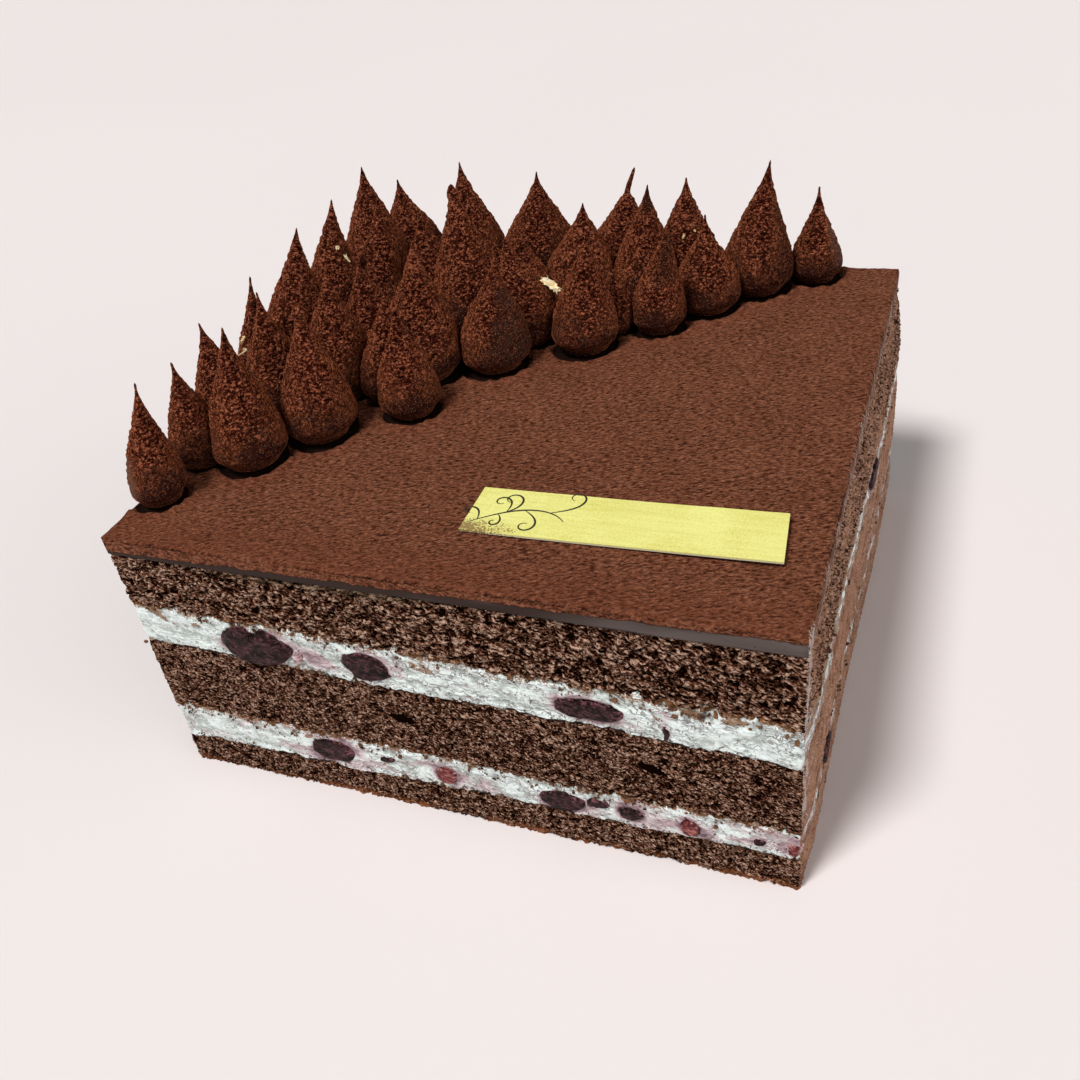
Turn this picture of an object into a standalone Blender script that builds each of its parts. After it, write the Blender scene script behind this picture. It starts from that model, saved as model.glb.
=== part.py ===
"""Square chocolate layer cake with a corner of piped chocolate peaks.

Three chocolate sponges and two layers of cherry cream run through the cake under a thin dark glaze.
Piped peaks fill the half of the top behind its diagonal, pressed against each other, and a small foil
plaque lies on the bare half. Cut cherries sit in pockets in the cream, almost flush with the cut sides.

Units are metres and +Z is up. The origin is the centre of the base. The front side faces -Y, and the
bare half of the top is towards +X and -Y.
"""
import math
from collections import namedtuple

import bmesh
import bpy
from mathutils import Matrix, Vector

MM = 0.001

# ---- The whole cake ----
SIDE = 150 * MM
HALF = SIDE / 2
BODY_HEIGHT = 70.2 * MM
CLEARANCE = 0.3 * MM          # between any two pieces that touch
CORNER_ROUND = 1.2 * MM       # upright corners of every layer
BASE_SLOPE_HEIGHT = 1.6 * MM  # the cake's lower edge slopes in, from this height
BASE_SLOPE_INSET = 0.9 * MM
GLAZE_SLOPE_HEIGHT = 0.7 * MM # and so does the upper edge of the glaze
GLAZE_SLOPE_INSET = 0.6 * MM
LAYER_CUTS = 8                # how finely a layer's wavy faces are divided

# ---- Surfaces between the layers: mean height, change of height from x = 0 to x = HALF, and wave ----
WAVE_LENGTH_X = 83 * MM
WAVE_LENGTH_Y = 97 * MM
Surface = namedtuple("Surface", "mean rise wave phase")
BASE = Surface(0.0, 0.0, 0.0, 0.0)
BOTTOM_SPONGE_TOP = Surface(8.9 * MM, 0.5 * MM, 0.5 * MM, 0.4)
LOWER_CREAM_TOP = Surface(18.8 * MM, -1.1 * MM, 0.5 * MM, 2.1)
MIDDLE_SPONGE_TOP = Surface(38.6 * MM, -1.7 * MM, 0.7 * MM, 5.2)
UPPER_CREAM_TOP = Surface(49.0 * MM, -2.3 * MM, 0.6 * MM, 3.3)
TOP_SPONGE_TOP = Surface(65.9 * MM, 0.1 * MM, 0.3 * MM, 1.2)
CAKE_TOP = Surface(BODY_HEIGHT, 0.0, 0.0, 0.0)

# ---- Layers from the base up: their surfaces, how far their sides stand in, and colour ----
SPONGE_COLOUR = (0.078, 0.036, 0.024)
CREAM_COLOUR = (0.62, 0.64, 0.61)
Layer = namedtuple("Layer", "name lower upper inset colour roughness")
LAYERS = (
    Layer("sponge_bottom", BASE, BOTTOM_SPONGE_TOP, 0.0, SPONGE_COLOUR, 0.9),
    Layer("cream_lower", BOTTOM_SPONGE_TOP, LOWER_CREAM_TOP, 0.4 * MM, CREAM_COLOUR, 0.45),
    Layer("sponge_middle", LOWER_CREAM_TOP, MIDDLE_SPONGE_TOP, 0.1 * MM, SPONGE_COLOUR, 0.9),
    Layer("cream_upper", MIDDLE_SPONGE_TOP, UPPER_CREAM_TOP, 0.4 * MM, CREAM_COLOUR, 0.45),
    Layer("sponge_top", UPPER_CREAM_TOP, TOP_SPONGE_TOP, 0.1 * MM, SPONGE_COLOUR, 0.9),
    Layer("glaze_top", TOP_SPONGE_TOP, CAKE_TOP, 0.0, (0.13, 0.052, 0.029), 0.85),
)

# ---- Cherries, cut by the knife, by side: place along the side and up, width, height, waist ----
# Along the side is measured from its middle, to the right as seen from outside.
CHERRY_COLOUR = (0.03, 0.012, 0.014)
CHERRY_DEPTH_SHARE = 0.42     # depth inside the side, as a share of the width
CHERRY_MIN_DEPTH = 3.0 * MM
CHERRY_INSET = 0.2 * MM       # its cut face stands this far inside the cake's side
CHERRY_SIDES = 12
CHERRY_BANDS = 6
SIDE_TURN = {"front": 0.0, "right": math.pi / 2, "back": math.pi, "left": -math.pi / 2}
Cherry = namedtuple("Cherry", "layer side along up width height waist")
CHERRIES = (
    Cherry("cream_upper", "front", -43.0, 44.6, 19.0, 9.2, 0.25),
    Cherry("cream_upper", "front", -16.7, 44.0, 11.6, 7.6, 0.0),
    Cherry("cream_upper", "front", 33.1, 42.9, 15.5, 6.6, 0.2),
    Cherry("cream_lower", "front", -32.2, 13.8, 11.8, 7.4, 0.0),
    Cherry("cream_lower", "front", -3.4, 13.4, 5.2, 5.0, 0.0),
    Cherry("cream_lower", "front", 24.1, 13.1, 10.7, 6.6, 0.1),
    Cherry("cream_lower", "front", 39.3, 13.4, 5.6, 4.0, 0.0),
    Cherry("cream_lower", "front", 52.2, 12.8, 4.6, 4.8, 0.0),
    Cherry("cream_upper", "right", 18.0, 42.0, 12.0, 6.8, 0.1),
    Cherry("cream_lower", "right", -46.0, 13.2, 9.0, 5.6, 0.0),
    Cherry("cream_upper", "back", -42.0, 42.6, 14.0, 7.4, 0.2),
    Cherry("cream_upper", "back", 16.0, 44.2, 11.0, 7.0, 0.0),
    Cherry("cream_lower", "back", -18.0, 13.6, 12.0, 6.4, 0.15),
    Cherry("cream_lower", "back", 41.0, 13.9, 9.0, 6.6, 0.0),
    Cherry("cream_upper", "left", 24.0, 45.6, 13.0, 8.0, 0.1),
    Cherry("cream_lower", "left", -6.0, 14.0, 11.0, 7.0, 0.0),
)

# ---- Plaque: a thin foil card lying on the bare half of the top ----
PLAQUE_LENGTH = 64.5 * MM
PLAQUE_WIDTH = 15.0 * MM
PLAQUE_THICKNESS = 0.5 * MM
PLAQUE_LIFT = 0.7 * MM        # its right end curls up by this
PLAQUE_PLACE = (35.1 * MM, -50.2 * MM)
PLAQUE_TURN = math.radians(1.0)
PLAQUE_CUTS = 7

# ---- Piped peaks ----
PEAK_COLOUR = (0.1, 0.034, 0.02)
PEAK_SIDES = 12
PEAK_LEVELS = (0.0, 0.07, 0.15, 0.29, 0.43, 0.57, 0.72, 0.88)   # shares of the height that carry a ring
PEAK_BELLY = 0.15             # share of the height where a peak is widest
PEAK_FOOT = 0.8               # its foot's radius as a share of the widest
PEAK_LEAN_CURVE = 1.6         # how late along its height a peak starts to lean
EDGE_MARGIN = 0.3 * MM        # peaks keep this far inside the cake's sides
PRESS_REACH = 30 * MM         # peaks further apart than this never touch

# In mm: place of the foot's centre, width, height, and how far the tip leans. A fullness of 1 gives a
# rounded shoulder and 0 a straight cone. The front row follows the diagonal of the top from its left
# corner to the right, and each next row stands behind the last.
Peak = namedtuple("Peak", "x y width height lean_x lean_y fullness")
PEAK_ROWS = (
    (
        Peak(-70, -58.5, 13.5, 27, 1.5, 3, 0.65),
        Peak(-57.5, -40, 19.5, 32, 1.5, 1.5, 0.4),
        Peak(-46.5, -26.5, 19.5, 31.5, 1, 2, 0.5),
        Peak(-28.5, -14, 16, 27, 0.5, 0.5, 0.65),
        Peak(-34, 4.5, 24, 33.5, 3, 1.5, 0.5),
        Peak(-16.5, 11, 19.5, 29, 4, 0, 0.6),
        Peak(3.5, 23, 18.5, 30, 3, 0.5, 0.45),
        Peak(19, 35, 15.5, 28, 5, -1.5, 0.5),
        Peak(29, 48, 18.5, 25, 0.5, -1.5, 0.85),
        Peak(39.5, 60.5, 20, 33.5, 3.5, 0.5, 0.55),
        Peak(54, 68, 14, 25, 0.5, -2, 0.6),
    ),
    (
        Peak(-69.5, -42.5, 15, 26, 2, -2, 0.6),
        Peak(-68, -30.5, 18.5, 29, 0, -1, 0.6),
        Peak(-60.5, -19.5, 19, 31.5, 1.5, -0.5, 0.6),
        Peak(-51, -7.5, 21, 32, 2.5, 1.5, 0.65),
        Peak(-37.5, -8.5, 14, 28.5, 4.5, 2, 0.6),
        Peak(-14, 26, 21.5, 28.5, -2, -1.5, 0.7),
        Peak(8.5, 33, 12, 18, 0, 0, 0.7),
        Peak(11, 52, 20.5, 30.5, 2.5, 0, 0.5),
        Peak(19.5, 64, 20, 28, 1, 0, 0.55),
    ),
    (
        Peak(-70, -13.5, 13.5, 32, 5, 0.5, 0.55),
        Peak(-51, 12, 20, 26, 0, 0, 0.7),
        Peak(-44.5, 36, 21.5, 28.5, -0.5, 0.5, 0.6),
        Peak(-33, 48.5, 17, 22, 0, 0, 0.7),
        Peak(-19.5, 42, 19, 22, 0, 0, 0.7),
        Peak(-6, 50, 24.5, 26.5, 2.5, -0.5, 0.55),
        Peak(0.5, 66, 23.5, 27, 4.5, -1, 0.5),
    ),
    (
        Peak(-66, 0, 24.5, 37.5, 6, 3, 0.4),
        Peak(-58.5, 32, 19.5, 33.5, 4, 2, 0.6),
        Peak(-29.5, 29, 24.5, 37.5, -2.5, 3.5, 0.3),
        Peak(-24, 65.5, 25, 30, 3, -2.5, 0.65),
    ),
    (
        Peak(-67, 21, 22, 37, 5.5, 2, 0.4),
        Peak(-51.5, 50.5, 18, 22, 0, 0, 0.7),
        Peak(-45.5, 66.5, 21.5, 31.5, 0, 0, 0.6),
    ),
    (
        Peak(-66, 46, 25, 37.5, 1.5, -0.5, 0.35),
        Peak(-65.5, 66.5, 22, 27, 0, -1.5, 0.6),
    ),
)
PEAKS = [peak for row in PEAK_ROWS for peak in row]


def clear_scene():
    """Remove whatever the file holds already."""
    for item in list(bpy.data.objects):
        bpy.data.objects.remove(item, do_unlink=True)


def make_material(name, colour, roughness, metallic=0.0):
    """Return a plain Principled material."""
    material = bpy.data.materials.new(name)
    material.use_nodes = True
    shader = material.node_tree.nodes["Principled BSDF"]
    shader.inputs["Base Color"].default_value = (*colour, 1.0)
    shader.inputs["Roughness"].default_value = roughness
    shader.inputs["Metallic"].default_value = metallic
    return material


def finish_object(name, bm, material, location=(0, 0, 0), smooth_angle=None):
    """Turn a bmesh into a named object with its material."""
    mesh = bpy.data.meshes.new(name)
    bm.to_mesh(mesh)
    bm.free()
    if smooth_angle is not None:
        mesh.shade_smooth()
        mesh.set_sharp_from_angle(angle=smooth_angle)
    mesh.materials.append(material)
    item = bpy.data.objects.new(name, mesh)
    item.location = location
    bpy.context.scene.collection.objects.link(item)
    return item


# ---- Layers ----

def surface_height(surface, x, y):
    """Height of a surface between two layers above the point (x, y)."""
    along = math.sin(math.tau * x / WAVE_LENGTH_X + surface.phase)
    across = math.sin(math.tau * y / WAVE_LENGTH_Y + 2 * surface.phase)
    return surface.mean + surface.rise * x / HALF + surface.wave * (along + across) / 2


def is_upright_corner(edge, half):
    """Tell whether an edge of a square block runs up one of its four corners."""
    return all(math.isclose(abs(c), half, rel_tol=1e-4) for v in edge.verts for c in v.co.xy)


def slope_rim(bm, level, inner_level, half, inset):
    """Slope the rim of the flat face at a level: a loop at inner_level stays, and the rim moves in."""
    everything = bm.verts[:] + bm.edges[:] + bm.faces[:]
    bmesh.ops.bisect_plane(bm, geom=everything, dist=1e-7, plane_co=(0, 0, inner_level),
                           plane_no=(0, 0, 1))
    reach = half - CORNER_ROUND
    for vert in bm.verts:
        on_rim = max(abs(vert.co.x), abs(vert.co.y)) > reach
        if on_rim and math.isclose(vert.co.z, level, abs_tol=1e-7):
            vert.co.xy *= (half - inset) / half


def make_layer(layer):
    """Make one layer that runs through the cake, with wavy faces where it meets the next ones."""
    half = HALF - layer.inset
    bm = bmesh.new()
    bmesh.ops.create_cube(bm, size=2 * half)
    level_edges = [e for e in bm.edges if math.isclose(e.verts[0].co.z, e.verts[1].co.z, abs_tol=1e-7)]
    bmesh.ops.subdivide_edges(bm, edges=level_edges, cuts=LAYER_CUTS, use_grid_fill=True)
    bmesh.ops.bevel(bm, geom=[e for e in bm.edges if is_upright_corner(e, half)], offset=CORNER_ROUND,
                    offset_type="OFFSET", segments=2, profile=0.5, affect="EDGES", material=-1)
    for vert in bm.verts:
        surface, gap = (layer.upper, -CLEARANCE / 2) if vert.co.z > 0 else (layer.lower, CLEARANCE / 2)
        outer = surface in (BASE, CAKE_TOP)
        vert.co.z = surface.mean if outer else surface_height(surface, vert.co.x, vert.co.y) + gap
    if layer.lower is BASE:
        slope_rim(bm, BASE.mean, BASE_SLOPE_HEIGHT, half, BASE_SLOPE_INSET)
    if layer.upper is CAKE_TOP:
        slope_rim(bm, CAKE_TOP.mean, CAKE_TOP.mean - GLAZE_SLOPE_HEIGHT, half, GLAZE_SLOPE_INSET)
    material = make_material(layer.name, layer.colour, layer.roughness)
    return finish_object(layer.name, bm, material, smooth_angle=math.radians(20))


# ---- Cherries and the pockets that hold them ----

def cherry_body(cherry, grow):
    """Return a whole cherry as a bmesh, with its middle on the cut face, grown all round by a gap."""
    bm = bmesh.new()
    bmesh.ops.create_uvsphere(bm, u_segments=CHERRY_SIDES, v_segments=CHERRY_BANDS, radius=1.0)
    bmesh.ops.rotate(bm, verts=bm.verts, matrix=Matrix.Rotation(math.pi / 2, 3, "X"))
    depth = max(cherry.width * MM * CHERRY_DEPTH_SHARE, CHERRY_MIN_DEPTH)
    for vert in bm.verts:
        vert.co.z *= 1 - cherry.waist * math.exp(-((vert.co.x / 0.35) ** 2))
    size = Vector((cherry.width * MM / 2 + grow, depth + grow, cherry.height * MM / 2 + grow))
    bmesh.ops.scale(bm, verts=bm.verts, vec=size)
    return bm


def place_on_side(bm, cherry, inset):
    """Move a cherry from its own axes to its place on a side of the cake."""
    bmesh.ops.translate(bm, verts=bm.verts, vec=(cherry.along * MM, inset - HALF, cherry.up * MM))
    bmesh.ops.rotate(bm, verts=bm.verts, matrix=Matrix.Rotation(SIDE_TURN[cherry.side], 3, "Z"))


def make_cherry(name, cherry, material):
    """Make the half of a cherry that the knife left in the cream, with a flat cut face."""
    bm = cherry_body(cherry, 0.0)
    everything = bm.verts[:] + bm.edges[:] + bm.faces[:]
    cut = bmesh.ops.bisect_plane(bm, geom=everything, dist=1e-7, plane_co=(0, 0, 0),
                                 plane_no=(0, -1, 0), clear_outer=True)
    rim = [g for g in cut["geom_cut"] if isinstance(g, bmesh.types.BMEdge)]
    bmesh.ops.edgenet_fill(bm, edges=rim)
    bmesh.ops.recalc_face_normals(bm, faces=bm.faces)
    place_on_side(bm, cherry, CHERRY_INSET)
    return finish_object(name, bm, material, smooth_angle=math.radians(50))


def cut_pocket(name, cherry, pockets):
    """Add a cutter a little larger than the cherry to the cutters of its cream layer."""
    bm = cherry_body(cherry, CLEARANCE)
    place_on_side(bm, cherry, CHERRY_INSET)
    mesh = bpy.data.meshes.new(name)
    bm.to_mesh(mesh)
    bm.free()
    cutter = bpy.data.objects.new(name, mesh)
    cutter.hide_render = True
    cutter.display_type = "WIRE"
    pockets.objects.link(cutter)


def make_cherries(layer_objects):
    """Make every cherry and cut its pocket out of the cream round it."""
    material = make_material("cherry", CHERRY_COLOUR, 0.35)
    pockets = {}
    for layer_name in sorted({cherry.layer for cherry in CHERRIES}):
        pockets[layer_name] = bpy.data.collections.new(layer_name + "_pockets")
        bpy.context.scene.collection.children.link(pockets[layer_name])
        boolean = layer_objects[layer_name].modifiers.new("pockets", "BOOLEAN")
        boolean.operation = "DIFFERENCE"
        boolean.solver = "EXACT"
        boolean.operand_type = "COLLECTION"
        boolean.collection = pockets[layer_name]
    count = dict.fromkeys(SIDE_TURN, 0)
    for cherry in CHERRIES:
        count[cherry.side] += 1
        name = f"cherry_{cherry.side}_{count[cherry.side]}"
        make_cherry(name, cherry, material)
        cut_pocket(name + "_pocket", cherry, pockets[cherry.layer])


# ---- Plaque ----

def make_plaque():
    """Make the foil card, flat at its left end and curling up a little towards its right end."""
    bm = bmesh.new()
    bmesh.ops.create_cube(bm, size=1.0)
    long_edges = [e for e in bm.edges if abs(e.verts[0].co.x - e.verts[1].co.x) > 0.5]
    bmesh.ops.subdivide_edges(bm, edges=long_edges, cuts=PLAQUE_CUTS)
    for vert in bm.verts:
        curl = PLAQUE_LIFT * (vert.co.x + 0.5) ** 2
        vert.co *= Vector((PLAQUE_LENGTH, PLAQUE_WIDTH, PLAQUE_THICKNESS))
        vert.co.z += curl
    bottom = BODY_HEIGHT + CLEARANCE + PLAQUE_THICKNESS / 2
    material = make_material("plaque_foil", (0.75, 0.7, 0.22), 0.35, 0.6)
    item = finish_object("plaque", bm, material, (*PLAQUE_PLACE, bottom), math.radians(30))
    item.rotation_euler.z = PLAQUE_TURN


# ---- Peaks ----

def peak_profile(share, fullness):
    """Radius of a peak at a share of its height, as a share of its widest radius."""
    if share < PEAK_BELLY:
        return PEAK_FOOT + (1 - PEAK_FOOT) * math.sin(math.pi / 2 * share / PEAK_BELLY)
    up = (share - PEAK_BELLY) / (1 - PEAK_BELLY)
    return fullness * (1 + math.cos(math.pi * up)) / 2 + (1 - fullness) * (1 - up)


def press_planes(peak):
    """Return what a peak is pressed against, as directions from its foot and how far they let it reach."""
    reach = HALF - EDGE_MARGIN
    planes = [(Vector((-1, 0)), reach + peak.x * MM), (Vector((0, 1)), reach - peak.y * MM)]
    for other in PEAKS:
        towards = Vector((other.x - peak.x, other.y - peak.y)) * MM
        if other is not peak and towards.length < PRESS_REACH:
            share = peak.width / (peak.width + other.width)
            planes.append((towards.normalized(), towards.length * share - CLEARANCE / 2))
    return planes


def make_peak(name, peak, material):
    """Make one piped peak: a turned drop, leaning at its tip, and flat where a neighbour presses it."""
    radius, height = peak.width * MM / 2, peak.height * MM
    bm = bmesh.new()
    rings = [(radius * peak_profile(share, peak.fullness), height * share) for share in PEAK_LEVELS]
    outline = [(0.0, 0.0), *rings, (0.0, height)]
    points = [bm.verts.new((r, 0, z)) for r, z in outline]
    edges = [bm.edges.new(pair) for pair in zip(points, points[1:])]
    bmesh.ops.spin(bm, geom=points + edges, cent=(0, 0, 0), axis=(0, 0, 1), angle=math.tau,
                   steps=PEAK_SIDES, use_merge=True)
    bmesh.ops.remove_doubles(bm, verts=bm.verts, dist=1e-6)
    bmesh.ops.recalc_face_normals(bm, faces=bm.faces)
    planes = press_planes(peak)
    for vert in bm.verts:
        share = (vert.co.z / height) ** PEAK_LEAN_CURVE
        axis = Vector((peak.lean_x, peak.lean_y)) * MM * share
        out = Vector(vert.co.xy)
        if out.length > 1e-6:
            reach = out.length
            out.normalize()
            for normal, limit in planes:
                facing = normal.dot(out)
                if facing > 1e-3:
                    reach = min(reach, (limit - normal.dot(axis)) / facing)
            out *= reach
        vert.co.xy = axis + out
    place = (peak.x * MM, peak.y * MM, BODY_HEIGHT + CLEARANCE)
    return finish_object(name, bm, material, place, math.radians(60))


def main():
    """Build the cake."""
    clear_scene()
    layer_objects = {layer.name: make_layer(layer) for layer in LAYERS}
    make_cherries(layer_objects)
    make_plaque()
    chocolate = make_material("peak_chocolate", PEAK_COLOUR, 0.85)
    for number, peak in enumerate(PEAKS, start=1):
        make_peak(f"peak_{number:02d}", peak, chocolate)


main()
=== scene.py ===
"""Looks of a square chocolate layer cake with piped peaks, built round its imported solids.

Every layer, peak, cherry and the plaque gets a finer piece of the same form: open crumb, smeared cream,
grainy cocoa and foil. Crumbs, flakes of gold leaf and small bits of cherry are added. Units are metres.
"""
import itertools
import logging
import math
import random
from dataclasses import dataclass, field
from enum import Enum

import bmesh
import bpy
import numpy as np
from mathutils import Matrix, Vector
from mathutils.bvhtree import BVHTree


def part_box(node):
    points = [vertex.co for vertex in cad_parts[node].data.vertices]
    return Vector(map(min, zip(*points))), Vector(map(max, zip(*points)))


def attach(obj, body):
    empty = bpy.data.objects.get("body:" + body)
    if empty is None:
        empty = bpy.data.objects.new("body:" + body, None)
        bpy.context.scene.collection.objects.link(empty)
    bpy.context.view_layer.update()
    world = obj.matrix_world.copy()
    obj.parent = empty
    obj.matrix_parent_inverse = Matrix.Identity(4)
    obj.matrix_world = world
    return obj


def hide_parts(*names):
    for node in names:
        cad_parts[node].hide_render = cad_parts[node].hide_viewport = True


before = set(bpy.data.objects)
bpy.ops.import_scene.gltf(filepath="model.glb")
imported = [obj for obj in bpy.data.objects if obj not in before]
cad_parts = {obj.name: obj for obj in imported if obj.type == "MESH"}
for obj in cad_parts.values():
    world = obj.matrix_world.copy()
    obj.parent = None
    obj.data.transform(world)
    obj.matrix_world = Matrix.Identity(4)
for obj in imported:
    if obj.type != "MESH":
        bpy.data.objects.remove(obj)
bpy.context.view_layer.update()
MM = 0.001
LOG = logging.getLogger("cake")
Size = tuple[float, float, float] | float    # of a pattern, by axis or alike

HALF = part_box("glaze_top")[1].x              # half of the cake's side
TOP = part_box("glaze_top")[1].z               # height of the cocoa
CORNER = 1.2 * MM                            # round of the upright corners
SIDES = ("front", "right", "back", "left")   # in the order in which they are met going round
TINY = 1e-9                                  # keeps a division off 0


# ---------------------------------------------------------------- noise

class Grain:
    """Seeded noise on a lattice, worked out for a whole array of points at once."""

    def __init__(self, seed: int) -> None:
        """Keep the seed that sets one noise apart from the next."""
        self.seed = seed

    def chance(self, cell: np.ndarray, salt: int) -> np.ndarray:
        """Return an even random number from 0 to 1 for each cell.

        Args:
            cell: whole-numbered places, n x 3.
            salt: tells several numbers of the same cell apart.

        Returns:
            One number for each cell.
        """
        mixed = cell[:, 0] * 73856093 ^ cell[:, 1] * 19349663 ^ cell[:, 2] * 83492791
        mixed = (mixed ^ (self.seed * 26544357 + salt * 9753191)) & 0xFFFFFFFF
        mixed = ((mixed ^ (mixed >> 15)) * 2246822519) & 0xFFFFFFFF
        mixed = ((mixed ^ (mixed >> 13)) * 3266489917) & 0xFFFFFFFF
        return (mixed ^ (mixed >> 16)) / 0xFFFFFFFF

    def smooth(self, points: np.ndarray, size: Size) -> np.ndarray:
        """Return smooth noise from -1 to 1 whose hills are about size across.

        Args:
            points: places, n x 3.
            size: how wide the hills are.

        Returns:
            One number for each point.
        """
        scaled = points / np.asarray(size)
        base = np.floor(scaled).astype(np.int64)
        part = scaled - base
        eased = part * part * (3 - 2 * part)
        total = np.zeros(len(points))
        for corner in itertools.product((0, 1), repeat=3):
            weight = np.prod(np.where(np.array(corner) == 1, eased, 1 - eased), axis=1)
            total += weight * self.chance(base + np.array(corner), 0)
        return 2 * total - 1

    def rough(self, points: np.ndarray, size: Size, octaves: int) -> np.ndarray:
        """Return noise from about -1 to 1 with ever finer hills added at half the height.

        Args:
            points: places, n x 3.
            size: how wide the widest hills are.
            octaves: how many sizes of hills there are.

        Returns:
            One number for each point.
        """
        total, height, spread = np.zeros(len(points)), 1.0, 0.0
        for octave in range(octaves):
            total += height * Grain(self.seed + 31 * octave).smooth(points, np.asarray(size) / 2 ** octave)
            spread += height
            height /= 2
        return total / spread

    def cells(self, points: np.ndarray, size: Size) -> tuple[np.ndarray, np.ndarray, np.ndarray]:
        """Return the distances to the nearest and the second cell centre, and the nearest cell's number.

        Args:
            points: places, n x 3.
            size: how far apart the cell centres are, alike or by axis.

        Returns:
            Both distances in cells, and a random number from 0 to 1 that is the cell's own.
        """
        scaled = points / np.asarray(size)
        base = np.floor(scaled).astype(np.int64)
        nearest, second = np.full(len(points), np.inf), np.full(len(points), np.inf)
        number = np.zeros(len(points))
        for step in itertools.product((-1, 0, 1), repeat=3):
            cell = base + np.array(step)
            centre = cell + np.stack([self.chance(cell, salt) for salt in (1, 2, 3)], axis=1)
            distance = np.linalg.norm(scaled - centre, axis=1)
            closer = distance < nearest
            second = np.where(closer, nearest, np.minimum(second, distance))
            number = np.where(closer, self.chance(cell, 4), number)
            nearest = np.minimum(nearest, distance)
        return nearest, second, number


def ease(value: np.ndarray, start: float, end: float) -> np.ndarray:
    """Return 0 below start and 1 above end, with a smooth step between them."""
    share = np.clip((value - start) / (end - start), 0, 1)
    return share * share * (3 - 2 * share)


# ---------------------------------------------------------------- materials

class Wire:
    """A shader socket on which Python's own operators add Math nodes."""

    def __init__(self, graph: "Graph", socket: bpy.types.NodeSocket) -> None:
        """Keep the socket and the graph that it belongs to."""
        self.graph = graph
        self.socket = socket

    def _math(self, operation: str, first: "Wire | float", second: "Wire | float") -> "Wire":
        """Return the result of a Math node on two values."""
        return self.graph.node("ShaderNodeMath", {"operation": operation}, {0: first, 1: second})

    def __add__(self, other: "Wire | float") -> "Wire":
        """Return the sum."""
        return self._math("ADD", self, other)

    def __sub__(self, other: "Wire | float") -> "Wire":
        """Return the difference."""
        return self._math("SUBTRACT", self, other)

    def __rsub__(self, other: float) -> "Wire":
        """Return the difference from a number."""
        return self._math("SUBTRACT", other, self)

    def __mul__(self, other: "Wire | float") -> "Wire":
        """Return the product."""
        return self._math("MULTIPLY", self, other)

    def swing(self, weight: float) -> "Wire":
        """Return noise from 0 to 1 as a swing round 0, weighted."""
        return (self - 0.5) * weight

    def step(self, start: float, end: float) -> "Wire":
        """Return 0 below start and 1 above end, with a smooth step between them.

        Args:
            start: where the step starts.
            end: where it ends.

        Returns:
            The wire that carries it.
        """
        settings = {"interpolation_type": "SMOOTHSTEP"}
        sockets = {"Value": self, "From Min": start, "From Max": end}
        return self.graph.node("ShaderNodeMapRange", settings, sockets)


Colour = tuple[float, float, float]


def linear(red: int, green: int, blue: int) -> Colour:
    """Return the linear colour of a screen colour given from 0 to 255."""
    parts = (value / 255 for value in (red, green, blue))
    return tuple(v / 12.92 if v <= 0.04045 else ((v + 0.055) / 1.055) ** 2.4 for v in parts)


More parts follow.
